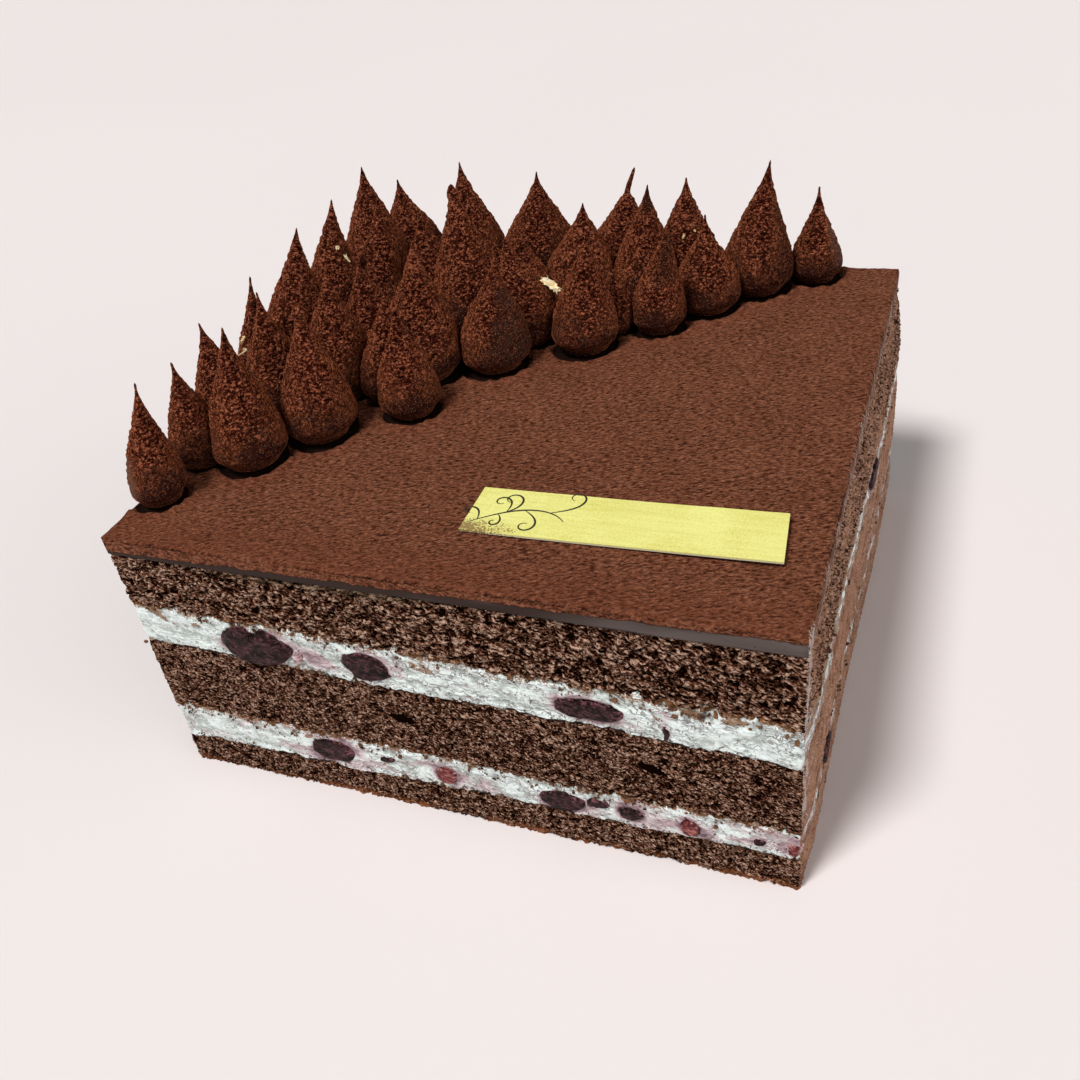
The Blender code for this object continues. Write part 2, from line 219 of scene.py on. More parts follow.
class Graph:
    """The nodes of one material round its Principled shader."""

    def __init__(self, name: str) -> None:
        """Make a material that has nothing but its shader and output.

        Args:
            name: the material's name.
        """
        self.material = bpy.data.materials.new(name)
        self.material.use_nodes = True
        self.nodes = self.material.node_tree.nodes
        self.links = self.material.node_tree.links
        self.shader = self.nodes["Principled BSDF"]

    def plug(self, socket: bpy.types.NodeSocket, value: object) -> None:
        """Link a wire to a socket, or set the socket's own value.

        Args:
            socket: an input of a node.
            value: a wire, a colour or a number.
        """
        if isinstance(value, Wire):
            self.links.new(value.socket, socket)
        elif isinstance(value, tuple) and socket.type == "RGBA":
            socket.default_value = (*value, 1.0)
        else:
            socket.default_value = value

    def node(self, kind: str, settings: dict[str, object] | None = None,
             sockets: dict[str | int, object] | None = None, output: str | int = 0) -> Wire:
        """Add a node.

        Args:
            kind: the node's type.
            settings: its properties, and for a ramp its stops as (place, colour) pairs.
            sockets: values or wires for its inputs, by name or number.
            output: which output the wire starts at.

        Returns:
            The wire from its output.
        """
        new = self.nodes.new(kind)
        for key, value in (settings or {}).items():
            if key == "stops":
                ramp = new.color_ramp.elements
                while len(ramp) < len(value):
                    ramp.new(0.5)
                for element, (place, colour) in zip(ramp, value):
                    element.position = place
                    element.color = (*colour, 1.0)
            else:
                setattr(new, key, value)
        for key, value in (sockets or {}).items():
            self.plug(new.inputs[key], value)
        return Wire(self, new.outputs[output])

    def place(self, stretch: Colour | None = None, warp: tuple[float, float] | None = None,
              slant: float = 0.0, turn: float = 0.0) -> Wire:
        """Return the place on the piece, in metres.

        Args:
            stretch: by how much patterns are packed together, by axis.
            warp: the size of the noise that pushes patterns about, and how far it does.
            slant: how steeply patterns fall to the right along the front and the right side.
            turn: by how much the directions in which patterns are stretched are turned, seen from above.

        Returns:
            The place, as a vector.
        """
        place = self.node("ShaderNodeTexCoord", output="Object")
        if warp is not None:
            sockets = {"Vector": place, "Scale": 1 / warp[0], "Detail": 1.0}
            push = self.node("ShaderNodeTexNoise", None, sockets, "Color")
            sockets = {0: push, 1: (warp[1], warp[1], warp[1]), 2: place}
            place = self.node("ShaderNodeVectorMath", {"operation": "MULTIPLY_ADD"}, sockets, "Vector")
        if slant:
            sockets = {0: place, 1: (slant, slant, 0.0)}
            lift = self.node("ShaderNodeVectorMath", {"operation": "DOT_PRODUCT"}, sockets, "Value")
            lift = self.node("ShaderNodeCombineXYZ", None, {"Z": lift})
            place = self.node("ShaderNodeVectorMath", {"operation": "ADD"}, {0: place, 1: lift}, "Vector")
        if turn:
            sockets = {"Vector": place, "Angle": -turn}
            place = self.node("ShaderNodeVectorRotate", {"rotation_type": "Z_AXIS"}, sockets, "Vector")
        if stretch is not None:
            place = self.node("ShaderNodeMapping", None, {"Vector": place, "Scale": stretch}, "Vector")
        return place

    def attribute(self, name: str) -> Wire:
        """Return a number that the mesh keeps at its points."""
        return self.node("ShaderNodeAttribute", {"attribute_name": name}, output="Fac")

    def noise(self, size: float, detail: float = 2.0, place: Wire | None = None) -> Wire:
        """Return noise from 0 to 1 whose hills are about size across, in metres."""
        sockets = {"Vector": place or self.place(), "Scale": 1 / size, "Detail": detail}
        return self.node("ShaderNodeTexNoise", None, sockets)

    def pebbles(self, size: float, place: Wire | None = None) -> Wire:
        """Return 1 in the middle of each pebble of that size and about 0 between them."""
        sockets = {"Vector": place or self.place(), "Scale": 1 / size}
        return 1 - self.node("ShaderNodeTexVoronoi", None, sockets, "Distance")

    def patchy(self, name: str, noise: Wire, start: float, end: float) -> Wire:
        """Return how much a patch that the mesh keeps covers, with an edge broken up by noise round 0."""
        share = self.attribute(name)
        return (share + noise).step(start, end) * share.step(0.0, 0.2)

    def ramp(self, value: Wire, *stops: tuple[float, Colour]) -> Wire:
        """Return a colour read from stops between which it blends."""
        return self.node("ShaderNodeValToRGB", {"stops": stops}, {"Fac": value}, "Color")

    def blend(self, factor: Wire | float, first: Wire | Colour, second: Wire | Colour) -> Wire:
        """Return the first colour where factor is 0 and the second where it is 1."""
        settings = {"data_type": "RGBA", "clamp_factor": True}
        return self.node("ShaderNodeMix", settings, {0: factor, 6: first, 7: second}, 2)

    def bump(self, height: Wire, depth: float) -> Wire:
        """Return a normal tilted by a height from 0 to 1 that stands for a depth in metres."""
        sockets = {"Height": height, "Distance": depth, "Strength": 1.0}
        return self.node("ShaderNodeBump", None, sockets, "Normal")

    def finish(self, **sockets: object) -> bpy.types.Material:
        """Set the shader's inputs, with _ for a space in their names, and return the material.

        Args:
            sockets: values or wires for the shader's inputs.

        Returns:
            The finished material.
        """
        for key, value in sockets.items():
            self.plug(self.shader.inputs[key.replace("_", " ")], value)
        return self.material


@dataclass(frozen=True)
class SpongeFinish:
    """Chocolate crumb: brown lumps, with painted shade that makes the gaps between them near black and
    painted highlights that make their tops paler.
    """

    name: str
    crumb: float                                # size of the finer lumps
    level: float = 0.5                          # how pale it is as a whole
    hole_shade: float = 3.0                           # how much painted shade darkens an air hole
    # painted shade: near black in the gaps, dark brown lower down
    pore_shade: Colour = linear(14, 3, 0)
    shade: Colour = linear(54, 26, 15)
    wall: Colour = linear(100, 62, 45)
    # painted highlights on the tops of the lumps, palest on the highest
    ridge_highlight: Colour = linear(140, 100, 79)
    light: Colour = linear(206, 172, 150)
    tan: Colour = linear(158, 108, 64)
    smeared: Colour = linear(174, 123, 99)
    paste: Colour = linear(212, 162, 134)
    white: Colour = linear(226, 206, 198)
    crust: Colour = linear(160, 98, 62)
    dry: Colour = linear(140, 118, 94)

    def build(self) -> bpy.types.Material:
        """Make the material. It reads relief, soak, paste, white, crust, dry and hole from the mesh.

        Returns:
            The material.
        """
        graph = Graph(self.name)
        torn = graph.place((0.75, 0.75, 1.7), (2.2 * self.crumb, 1.6 * self.crumb), 0.35)
        fine = graph.noise(self.crumb, 2.0, torn)
        lumps = graph.pebbles(1.9 * self.crumb, torn)
        patch = graph.noise(5 * MM, 2.0)
        # The lower a spot of crumb lies, and the deeper in an air hole, the darker it is painted: painted
        # shade; the highest get painted highlights.
        height = graph.attribute("relief").swing(0.65) + (lumps - 0.45) * 0.7 + fine.swing(2.7)
        height = height + patch.swing(0.4) + self.level - graph.attribute("hole") * self.hole_shade
        colour = graph.ramp(height, (0.2, self.pore_shade), (0.36, self.shade), (0.53, self.wall),
                            (0.74, self.ridge_highlight), (1.0, self.light))
        soak = graph.patchy("soak", patch.swing(1.6) + fine.swing(1.2), 0.55, 0.95)
        colour = graph.blend(soak * 0.6, colour, self.tan)
        dry = graph.patchy("dry", patch.swing(1.2) + fine.swing(1.6), 0.4, 1.0)
        colour = graph.blend(dry * 0.55, colour, self.dry)
        crust = graph.patchy("crust", fine.swing(1.2), 0.2, 0.8)
        colour = graph.blend(crust * 0.8, colour, self.crust)
        paste = graph.patchy("paste", fine.swing(1.6), 0.1, 0.9)
        smear = graph.blend(patch.step(0.3, 0.55), self.smeared, self.paste)
        colour = graph.blend(paste * 0.8, colour, smear)
        white = graph.patchy("white", fine.swing(2.0), 0.2, 0.9)
        colour = graph.blend(white * 0.8, colour, self.white)
        return graph.finish(Base_Color=colour, Roughness=0.9, Specular_IOR_Level=0.02,
                            Normal=graph.bump(lumps * 0.4 + fine * 1.3, 1.6 * self.crumb))


@dataclass(frozen=True)
class CreamFinish:
    """Whipped cream: cool white, stained pink and purple by the fruit, with crumb dragged into it."""

    name: str = "cherry_cream"
    base: Colour = linear(236, 246, 243)
    shade: Colour = linear(182, 189, 184)
    line: Colour = linear(112, 98, 97)
    pink: Colour = linear(204, 166, 172)
    purple: Colour = linear(128, 102, 112)
    crumb: Colour = linear(142, 98, 58)
    dirt: Colour = linear(78, 52, 40)
    # painted shadow in the gap along the lower rim
    gap: Colour = linear(30, 16, 11)

    def build(self) -> bpy.types.Material:
        """Make the material. It reads relief, curly, stain, dust, dirt and gap from the mesh.

        Returns:
            The material.
        """
        graph = Graph(self.name)
        dragged = graph.place((0.6, 0.6, 1.4), (2.0 * MM, 2.2 * MM), 0.15)
        wrinkle = graph.noise(0.8 * MM, 4.0, dragged)
        fine = graph.noise(0.4 * MM, 3.0)
        patch = graph.noise(3.2 * MM, 3.0, dragged)
        speck = graph.noise(0.8 * MM, 1.0, graph.place(None, (1 * MM, 1 * MM)))
        shade = graph.attribute("relief") * 0.7 + wrinkle.swing(2.0) + fine.swing(0.5)
        colour = graph.blend(shade.step(-0.1, 0.6), self.shade, self.base)
        curl = graph.noise(1.3 * MM, 2.0, dragged) - 0.5
        line = (1 - (curl * curl).step(0.0, 0.0018)) * patch.step(0.38, 0.54)
        colour = graph.blend(line * graph.attribute("curly"), colour, self.line)
        stain = graph.attribute("stain") + patch.swing(2.2) + wrinkle.swing(0.8)
        colour = graph.blend(stain.step(0.3, 1.1) * 0.7, colour, self.pink)
        colour = graph.blend(stain.step(0.8, 1.5) * 0.8, colour, self.purple)
        dust = graph.attribute("dust") + fine.swing(1.4) + patch.swing(1.6)
        colour = graph.blend(dust.step(0.62, 0.9) * 0.85, colour, self.crumb)
        dirt = speck + fine.swing(0.3) + graph.attribute("dirt") * 0.3
        colour = graph.blend(dirt.step(0.69, 0.75) * 0.85, colour, self.dirt)
        # painted shadow in the gap along the lower rim
        gap = (graph.attribute("gap") + fine.swing(0.6)).step(0.4, 0.6)
        colour = graph.blend(gap, colour, self.gap)
        rise = wrinkle + fine * 0.3 - line * 0.4
        return graph.finish(Base_Color=colour, Roughness=0.6, Specular_IOR_Level=0.25,
                            Subsurface_Weight=0.1, Subsurface_Radius=(1.0, 0.9, 0.8),
                            Subsurface_Scale=0.6 * MM, Normal=graph.bump(rise, 0.35 * MM))


@dataclass(frozen=True)
class CocoaFinish:
    """Fine cocoa powder on top, and the satin edge of the dark glaze under it. Shade in the powder's hollows,
    the shadow round the peaks' feet and the sheen on the glaze edge are painted.
    """

    name: str = "cocoa_and_glaze"
    # the powder's own tone, with painted shade in its hollows and painted highlight on its rises
    low: Colour = linear(64, 29, 14)
    middle: Colour = linear(116, 68, 47)
    high: Colour = linear(151, 98, 73)
    red: Colour = linear(112, 58, 38)
    glaze: Colour = linear(52, 38, 33)
    # painted satin sheen on the glaze edge, a paler grey
    worn: Colour = linear(108, 97, 93)
    # near black: painted contact shadow round the peaks' feet, and dark specks on the glaze edge
    bare: Colour = linear(14, 5, 3)
    paste: Colour = linear(146, 110, 92)
    white: Colour = linear(220, 204, 194)
    powder: float = 0.65 * MM                   # width of its pebbles
    way: float = math.radians(25)               # the way they were shaken out, from the front

    def build(self) -> bpy.types.Material:
        """Make the material. It reads cocoa, the glaze edge's painted sheen, red, bare (painted shadow round
        the peaks' feet), paste and white from the mesh.

        Returns:
            The material.
        """
        graph = Graph(self.name)
        shaken = graph.place((0.55, 1.1, 1.0), (0.9 * MM, 0.7 * MM), turn=self.way)
        pebbles = graph.pebbles(self.powder, shaken)
        fine = graph.noise(0.35 * MM, 2.0, shaken)
        drift = graph.noise(0.75 * MM, 2.0, shaken)
        patch = graph.noise(14 * MM, 3.0)
        height = pebbles.swing(0.7) + fine.swing(1.1) + drift.swing(1.5) + patch.swing(0.3) + 0.5
        # Lower in the powder is darker and higher is paler: painted shade and highlight over its own tone.
        powder = graph.ramp(height, (0.05, self.low), (0.48, self.middle), (0.95, self.high))
        powder = graph.blend(graph.attribute("red") * 0.3, powder, self.red)
        streak = graph.noise(5 * MM, 3.0, graph.place((0.3, 0.3, 1.6)))
        speck = graph.noise(0.5 * MM, 1.0)
        # painted satin sheen on the glaze edge
        worn = (graph.attribute("worn") + streak.swing(0.7)).step(0.1, 0.9)
        edge = graph.blend(worn, self.glaze, self.worn)
        edge = graph.blend(speck.step(0.7, 0.76) * 0.7, edge, self.bare)
        cover = (graph.attribute("cocoa") + fine.swing(0.6) + drift.swing(0.6)).step(0.35, 0.65)
        colour = graph.blend(cover, edge, powder)
        # painted contact shadow round the peaks' feet
        bare = (graph.attribute("bare") + fine.swing(0.5) + drift.swing(0.8)).step(0.3, 0.65)
        colour = graph.blend(bare * 0.95, colour, self.bare)
        paste = graph.patchy("paste", fine.swing(1.8) + drift.swing(1.2), 0.2, 0.9)
        colour = graph.blend(paste * 0.8, colour, self.paste)
        white = graph.patchy("white", speck.swing(2.4), 0.25, 0.9)
        colour = graph.blend(white * 0.75, colour, self.white)
        rise = (pebbles * 0.6 + fine * 0.45 + drift * 1.0) * cover
        return graph.finish(Base_Color=colour, Roughness=cover * 0.45 + 0.5, Specular_IOR_Level=0.08,
                            Normal=graph.bump(rise, 0.9 * MM))


@dataclass(frozen=True)
class PeakFinish:
    """Piped chocolate under grains of cocoa, barer and darker at its foot, with painted shade between the
    grains, painted highlights on them, painted glints on the bare foot and a painted greyish sheen on some
    smooth flanks.
    """

    name: str = "piped_chocolate"
    # painted shade between the grains
    hollow: Colour = linear(28, 3, 0)
    low: Colour = linear(58, 20, 10)
    grain: Colour = linear(83, 34, 21)
    # painted highlights on the grains' tops
    high: Colour = linear(170, 101, 71)
    bare: Colour = linear(46, 18, 11)
    bare_light: Colour = linear(72, 38, 28)
    # painted greyish sheen on smooth flanks
    grey: Colour = linear(132, 108, 96)
    # painted glints on the bare foot
    glint: Colour = linear(190, 158, 140)
    glow: Colour = linear(228, 130, 84)
    grain_size: float = 0.72 * MM               # width of a grain of cocoa

    def build(self) -> bpy.types.Material:
        """Make the material. It reads cocoa, relief and grey from the mesh.

        Returns:
            The material.
        """
        graph = Graph(self.name)
        shaken = graph.place((1.0, 1.0, 1.4), (0.8 * MM, 0.6 * MM))
        pebbles = graph.pebbles(self.grain_size, shaken)
        fine = graph.noise(0.38 * MM, 2.0, shaken)
        clump = graph.noise(0.95 * MM, 2.0, shaken)
        # Lower is darker and higher is paler: painted shade between the grains and painted highlights on
        # them.
        height = graph.attribute("relief").swing(0.35) + pebbles.swing(0.9) + fine.swing(2.0)
        height = height + clump.swing(1.6) + 0.5
        powder = graph.ramp(height, (0.14, self.hollow), (0.36, self.low),
                            (0.56, self.grain), (1.0, self.high))
        bare = graph.blend((fine + clump.swing(0.6)).step(0.42, 0.8), self.bare, self.bare_light)
        # painted glints on the bare foot
        bare = graph.blend(graph.noise(0.3 * MM, 1.0).step(0.66, 0.72) * 0.6, bare, self.glint)
        cover = graph.attribute("cocoa") + fine.swing(1.2) + clump.swing(1.2)
        cover = cover.step(0.15, 0.8)
        colour = graph.blend(cover, bare, powder)
        # painted greyish sheen on smooth flanks
        grey = (graph.attribute("grey") + fine.swing(0.5)).step(0.2, 0.9)
        colour = graph.blend(grey * 0.7, colour, self.grey)
        rise = (pebbles * 0.6 + clump * 0.9 + fine * 0.5) * (cover * 0.8 + 0.2)
        return graph.finish(Base_Color=colour, Roughness=0.85, Specular_IOR_Level=0.04,
                            Sheen_Weight=0.6, Sheen_Roughness=0.2, Sheen_Tint=self.glow,
                            Normal=graph.bump(rise, 1.1 * MM))


@dataclass(frozen=True)
class CherryFinish:
    """Moist fruit flesh, streaked along it, with paler skin round the cut."""

    name: str = "dark_cherry_flesh"
    dark: Colour = linear(46, 20, 21)
    flesh: Colour = linear(98, 62, 68)
    skin: Colour = linear(150, 96, 108)
    crack: Colour = linear(10, 3, 3)

    def build(self) -> bpy.types.Material:
        """Make the material. It reads rim from the mesh.

        Returns:
            The material.
        """
        graph = Graph(self.name)
        drawn = graph.place((0.6, 0.6, 1.7), (1.2 * MM, 1.2 * MM), 0.2)
        streaks = graph.noise(0.6 * MM, 4.0, drawn)
        patch = graph.noise(2.2 * MM, 2.0)
        height = streaks.swing(2.2) + patch.swing(1.0) + 0.5
        colour = graph.ramp(height, (0.25, self.crack), (0.5, self.dark), (0.95, self.flesh))
        rim = graph.attribute("rim") + streaks.swing(2.2) + patch.swing(2.2)
        colour = graph.blend(rim.step(0.55, 1.4) * 0.75, colour, self.skin)
        return graph.finish(Base_Color=colour, Roughness=streaks * 0.5 + 0.25, Specular_IOR_Level=0.15,
                            Normal=graph.bump(streaks, 0.8 * MM))


@dataclass(frozen=True)
class FoilFinish:
    """Brushed gold foil on card, dusted with cocoa at its lower left corner."""

    name: str = "gold_foil_card"
    foil: Colour = linear(255, 252, 156)
    deep: Colour = linear(228, 219, 108)
    dust: Colour = linear(120, 76, 44)
    paper: Colour = linear(222, 216, 196)

    def build(self) -> bpy.types.Material:
        """Make the material. It reads dust and paper from the mesh.

        Returns:
            The material.
        """
        graph = Graph(self.name)
        brushed = graph.noise(1.2 * MM, 4.0, graph.place((0.12, 1.6, 1.0)))
        fine = graph.noise(0.4 * MM, 2.0)
        patch = graph.noise(14 * MM, 2.0)
        gleam = (brushed * 0.3 + patch * 0.4 + fine * 0.5).step(0.35, 0.75)
        colour = graph.blend(gleam, self.deep, self.foil)
        paper = graph.attribute("paper")
        colour = graph.blend(paper, colour, self.paper)
        dust = (graph.attribute("dust") + fine.swing(1.5)).step(0.6, 0.9)
        colour = graph.blend(dust * 0.85, colour, self.dust)
        metal = (1 - dust) * (1 - paper) * 0.1
        return graph.finish(Base_Color=colour, Metallic=metal, Roughness=dust * 0.4 + brushed * 0.2 + 0.28,
                            Normal=graph.bump(brushed * 0.7 + fine * 0.3, 0.05 * MM))


@dataclass(frozen=True)
class PlainFinish:
    """One mottled colour, for small things and the floor."""

    name: str
    light: Colour
    dark: Colour
    mottle: float
    roughness: float
    metallic: float = 0.0
    depth: float = 0.05 * MM

    def build(self) -> bpy.types.Material:
        """Make the material.

        Returns:
            The material.
        """
        graph = Graph(self.name)
        noise = graph.noise(self.mottle, 3.0)
        return graph.finish(Base_Color=graph.blend(noise.step(0.3, 0.7), self.dark, self.light),
                            Roughness=self.roughness, Metallic=self.metallic,
                            Normal=graph.bump(noise, self.depth))


INK = PlainFinish("ornament_ink", linear(62, 54, 34), linear(34, 30, 22), 0.5 * MM, 0.6)
# The gold leaf's pale, near-white tone is a painted reflection over its gold.
LEAF = PlainFinish("gold_leaf", linear(255, 246, 214), linear(250, 208, 138), 0.8 * MM, 0.35, 0.05, 0.3 * MM)
CRUMB = PlainFinish("loose_crumb", linear(124, 82, 50), linear(52, 30, 20), 1.2 * MM, 0.9, 0.0, 0.2 * MM)
FLOOR = PlainFinish("pale_floor", linear(238, 230, 228), linear(236, 228, 226), 0.5, 0.8, 0.0, 0.0)


# ---------------------------------------------------------------- meshes

def read_points(mesh: bpy.types.Mesh) -> np.ndarray:
    """Return a mesh's points as an array, n x 3.

    Args:
        mesh: the mesh.

    Returns:
        Their places.
    """
    flat = np.empty(len(mesh.vertices) * 3)
    mesh.vertices.foreach_get("co", flat)
    return flat.reshape(-1, 3)


def read_normals(mesh: bpy.types.Mesh) -> np.ndarray:
    """Return the normals at a mesh's points as an array, n x 3.

    Args:
        mesh: the mesh.

    Returns:
        Their directions.
    """
    flat = np.empty(len(mesh.vertices) * 3, dtype=np.float32)
    mesh.vertex_normals.foreach_get("vector", flat)
    return flat.reshape(-1, 3).astype(float)


def write_points(mesh: bpy.types.Mesh, points: np.ndarray) -> None:
    """Move a mesh's points."""
    mesh.vertices.foreach_set("co", points.ravel())
    mesh.update()


def keep_number(mesh: bpy.types.Mesh, name: str, values: np.ndarray) -> None:
    """Keep a number at each of a mesh's points, for its material to read."""
    mesh.attributes.new(name, "FLOAT", "POINT").data.foreach_set("value", values.astype(np.float32))


def to_mesh(name: str, bm: bmesh.types.BMesh) -> bpy.types.Mesh:
    """Turn a bmesh into a mesh and free it.

    Args:
        name: its name.
        bm: what it is made from.

    Returns:
        The mesh.
    """
    mesh = bpy.data.meshes.new(name)
    bm.to_mesh(mesh)
    bm.free()
    return mesh


def add_piece(name: str, mesh: bpy.types.Mesh, material: bpy.types.Material, slot: str,
              *nodes: str, sharp: float = math.pi) -> bpy.types.Object:
    """Put a finished mesh in the scene as a piece that rides with the cake.

    Args:
        name: the piece's name.
        mesh: its mesh, in place.
        material: its finish.
        slot: not used.
        nodes: the solids that it stands for.
        sharp: the angle from which an edge stays sharp.

    Returns:
        The piece.
    """
    mesh.shade_smooth()
    if sharp < math.pi:
        mesh.set_sharp_from_angle(angle=sharp)
    mesh.materials.append(material)
    piece = bpy.data.objects.new(name, mesh)
    bpy.context.scene.collection.objects.link(piece)
    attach(piece, "root")
    if nodes:
        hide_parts(*nodes)
    LOG.info("%s: %d faces", name, len(mesh.polygons))
    return piece


def node_tree(node: str) -> BVHTree:
    """Return the faces of a solid for casting rays at."""
    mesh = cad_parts[node].data
    return BVHTree.FromPolygons([v.co for v in mesh.vertices], [p.vertices for p in mesh.polygons])


# ---------------------------------------------------------------- the cut sides

def going_round(points: np.ndarray) -> np.ndarray:
    """Return how far round the cake each point is, from the front's left end, in sides.

    Args:
        points: places, n x 3.

    Returns:
        One number from 0 to 4 for each point.
    """
    x, y = points[:, 0] / HALF, points[:, 1] / HALF
    front_or_back = np.abs(y) >= np.abs(x)
    along_x = np.where(y < 0, (x + 1) / 2, 2 + (1 - x) / 2)
    along_y = np.where(x > 0, 1 + (y + 1) / 2, 3 + (1 - y) / 2)
    return np.where(front_or_back, along_x, along_y)


def round_corners(points: np.ndarray) -> np.ndarray:
    """Pull the points of a square plan into its rounded corners.

    Args:
        points: places, n x 3.

    Returns:
        The moved places.
    """
    inner = HALF - CORNER
    over = np.maximum(np.abs(points[:, :2]) - inner, 0)
    both = (over > 0).all(axis=1)
    length = np.linalg.norm(over, axis=1)
    shrink = np.where(both, over.max(axis=1) / np.maximum(length, TINY), 1.0)
    pulled = np.sign(points[:, :2]) * (inner + over * shrink[:, None])
    moved = points.copy()
    moved[:, :2] = np.where(both[:, None], pulled, points[:, :2])
    return moved


def outward(points: np.ndarray) -> np.ndarray:
    """Return the level direction straight out of the nearest side, for points on the sides.

    Args:
        points: places, n x 3.

    Returns:
        Directions, n x 3.
    """
    over = np.maximum(np.abs(points) - (HALF - CORNER), TINY) * np.sign(points)
    over[:, 2] = 0
    return over / np.maximum(np.linalg.norm(over, axis=1, keepdims=True), 1e-12)


@dataclass
class Band:
    """A layer's piece: a fine band round the four sides, closed by coarse faces inside the cake."""

    node: str
    seed: int
    step: float = 0.36 * MM     # length of its faces
    step_up: float = 0.36 * MM  # and their height
    low_tear: int = 0           # seed of the torn border to the layer below, or 0 for a clean one
    top_tear: int = 0           # and of the one to the layer above
    lap: float = 1.6 * MM       # how far the band reaches past a torn border
    lap_depth: float = 1.2 * MM     # and how deep its lap lies under the other layer
    inset: float = 4 * MM       # how far in from the sides the layer's wavy faces are read
    samples: int = 40           # and from how many places along each side
    cap_rim: float = 3 * MM     # width of the level faces round its coarse ends

    def faces(self, around: np.ndarray) -> tuple[np.ndarray, np.ndarray]:
        """Read the heights of the layer's two faces along its sides.

        Args:
            around: how far round the cake to read them, from 0 to 4.

        Returns:
            The heights of the lower and of the upper face.
        """
        tree = node_tree(self.node)
        low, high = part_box(self.node)
        inner = HALF - self.inset
        corners = [Vector((-1, -1)), Vector((1, -1)), Vector((1, 1)), Vector((-1, 1)), Vector((-1, -1))]
        places, lower, upper = [], [], []
        for side, sample in itertools.product(range(4), range(self.samples)):
            share = sample / self.samples
            spot = corners[side].lerp(corners[side + 1], share) * inner
            down = tree.ray_cast(Vector((*spot, high.z + MM)), Vector((0, 0, -1)))[0]
            up = tree.ray_cast(Vector((*spot, low.z - MM)), Vector((0, 0, 1)))[0]
            places.append(side + share)
            lower.append(up.z)
            upper.append(down.z)
        return np.interp(around, places, lower, period=4), np.interp(around, places, upper, period=4)

    @staticmethod
    def tear(points: np.ndarray, seed: int) -> np.ndarray:
        """Return how far down the border between two layers is pushed along the sides.

        Args:
            points: places on the sides, n x 3.
            seed: the border's own seed, or 0 for a clean one.

        Returns:
            One number for each point.
        """
        if seed == 0:
            return np.zeros(len(points))
        flat = points * np.array([1, 1, 0])
        wide, fine = Grain(seed).rough(flat, 5.5 * MM, 2), Grain(seed + 1).rough(flat, 1.5 * MM, 2)
        return MM * (0.6 * wide + 0.5 * fine)

    def make_shell(self, tall: float) -> bpy.types.Mesh:
        """Make a cube's four sides in fine faces, closed by coarse ones above and below.

        Args:
            tall: the height that the faces are fitted to.

        Returns:
            The mesh, as high as it is wide.
        """
        bm = bmesh.new()
        bmesh.ops.create_cube(bm, size=2 * HALF)
        caps = [f for f in bm.faces if abs(f.normal.z) > 0.5]
        bmesh.ops.delete(bm, geom=caps, context="FACES_ONLY")
        level = [e for e in bm.edges if abs(e.verts[0].co.z - e.verts[1].co.z) < HALF]
        bmesh.ops.subdivide_edges(bm, edges=level, cuts=round(2 * HALF / self.step), use_grid_fill=True)
        upright = [e for e in bm.edges if abs(e.verts[0].co.z - e.verts[1].co.z) > HALF]
        bmesh.ops.subdivide_edges(bm, edges=upright, cuts=round(tall / self.step_up), use_grid_fill=True)
        rims = [e for e in bm.edges if e.is_boundary]
        caps = bmesh.ops.holes_fill(bm, edges=rims, sides=0)["faces"]
        bmesh.ops.inset_region(bm, faces=caps, thickness=self.cap_rim,
                               use_boundary=True, use_even_offset=True)
        bmesh.ops.recalc_face_normals(bm, faces=bm.faces)
        return to_mesh(self.node + "_piece", bm)

    def make_band(self) -> tuple[bpy.types.Mesh, np.ndarray, np.ndarray, np.ndarray]:
        """Make the band, still smooth.

        Returns:
            The mesh, its points, and how far each point is above the lower and below the upper border.
        """
        low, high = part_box(self.node)
        below, above = self.lap * (self.low_tear > 0), self.lap * (self.top_tear > 0)
        mesh = self.make_shell(high.z - low.z + below + above)
        points = read_points(mesh)
        lower, upper = self.faces(going_round(points))
        share = (points[:, 2] + HALF) / (2 * HALF)
        points[:, 2] = lower - below + share * (upper + above - lower + below)
        above_low = points[:, 2] - lower + self.tear(points, self.low_tear)
        below_top = upper - points[:, 2] - self.tear(points, self.top_tear)
        return mesh, round_corners(points), above_low, below_top

    def lap_under(self, inside: np.ndarray) -> np.ndarray:
        """Return how much deeper the band lies, from how far it is inside its torn borders."""
        return self.lap_depth * ease(-inside, -0.5 * MM, self.lap)

    @staticmethod
    def press_in(mesh: bpy.types.Mesh, points: np.ndarray, depth: np.ndarray) -> None:
        """Press the sides in and let the right side swell.

        Args:
            mesh: the band's mesh, which gets the swollen places.
            points: its points, which are pressed in but not swollen.
            depth: how far in each of them goes.
        """
        hidden = np.abs(points[:, :2]).max(axis=1) < HALF - CORNER - 0.5 * MM
        points -= outward(points) * np.where(hidden, 0, depth)[:, None]
        write_points(mesh, swell_right(points))


def side_share(points: np.ndarray, side: str, blend: float = 0.03) -> np.ndarray:
    """Return 1 on one side of the cake and 0 on the others, blended over its upright edges."""
    place = (going_round(points) - SIDES.index(side)) % 4
    return np.clip(np.minimum(place + blend, 1 + blend - place) / (2 * blend), 0, 1)


SHARP_BLEND = 0.01                  # for what should hardly reach round a corner
STREAKS = Grain(900)                # where the knife drew paste along the right side
PATCHES = Grain(905)                # and where it took some off again
VEINS = Grain(907)                  # cream pulled down from the edge
RAGS = Grain(77)                    # ragged outlines of spots


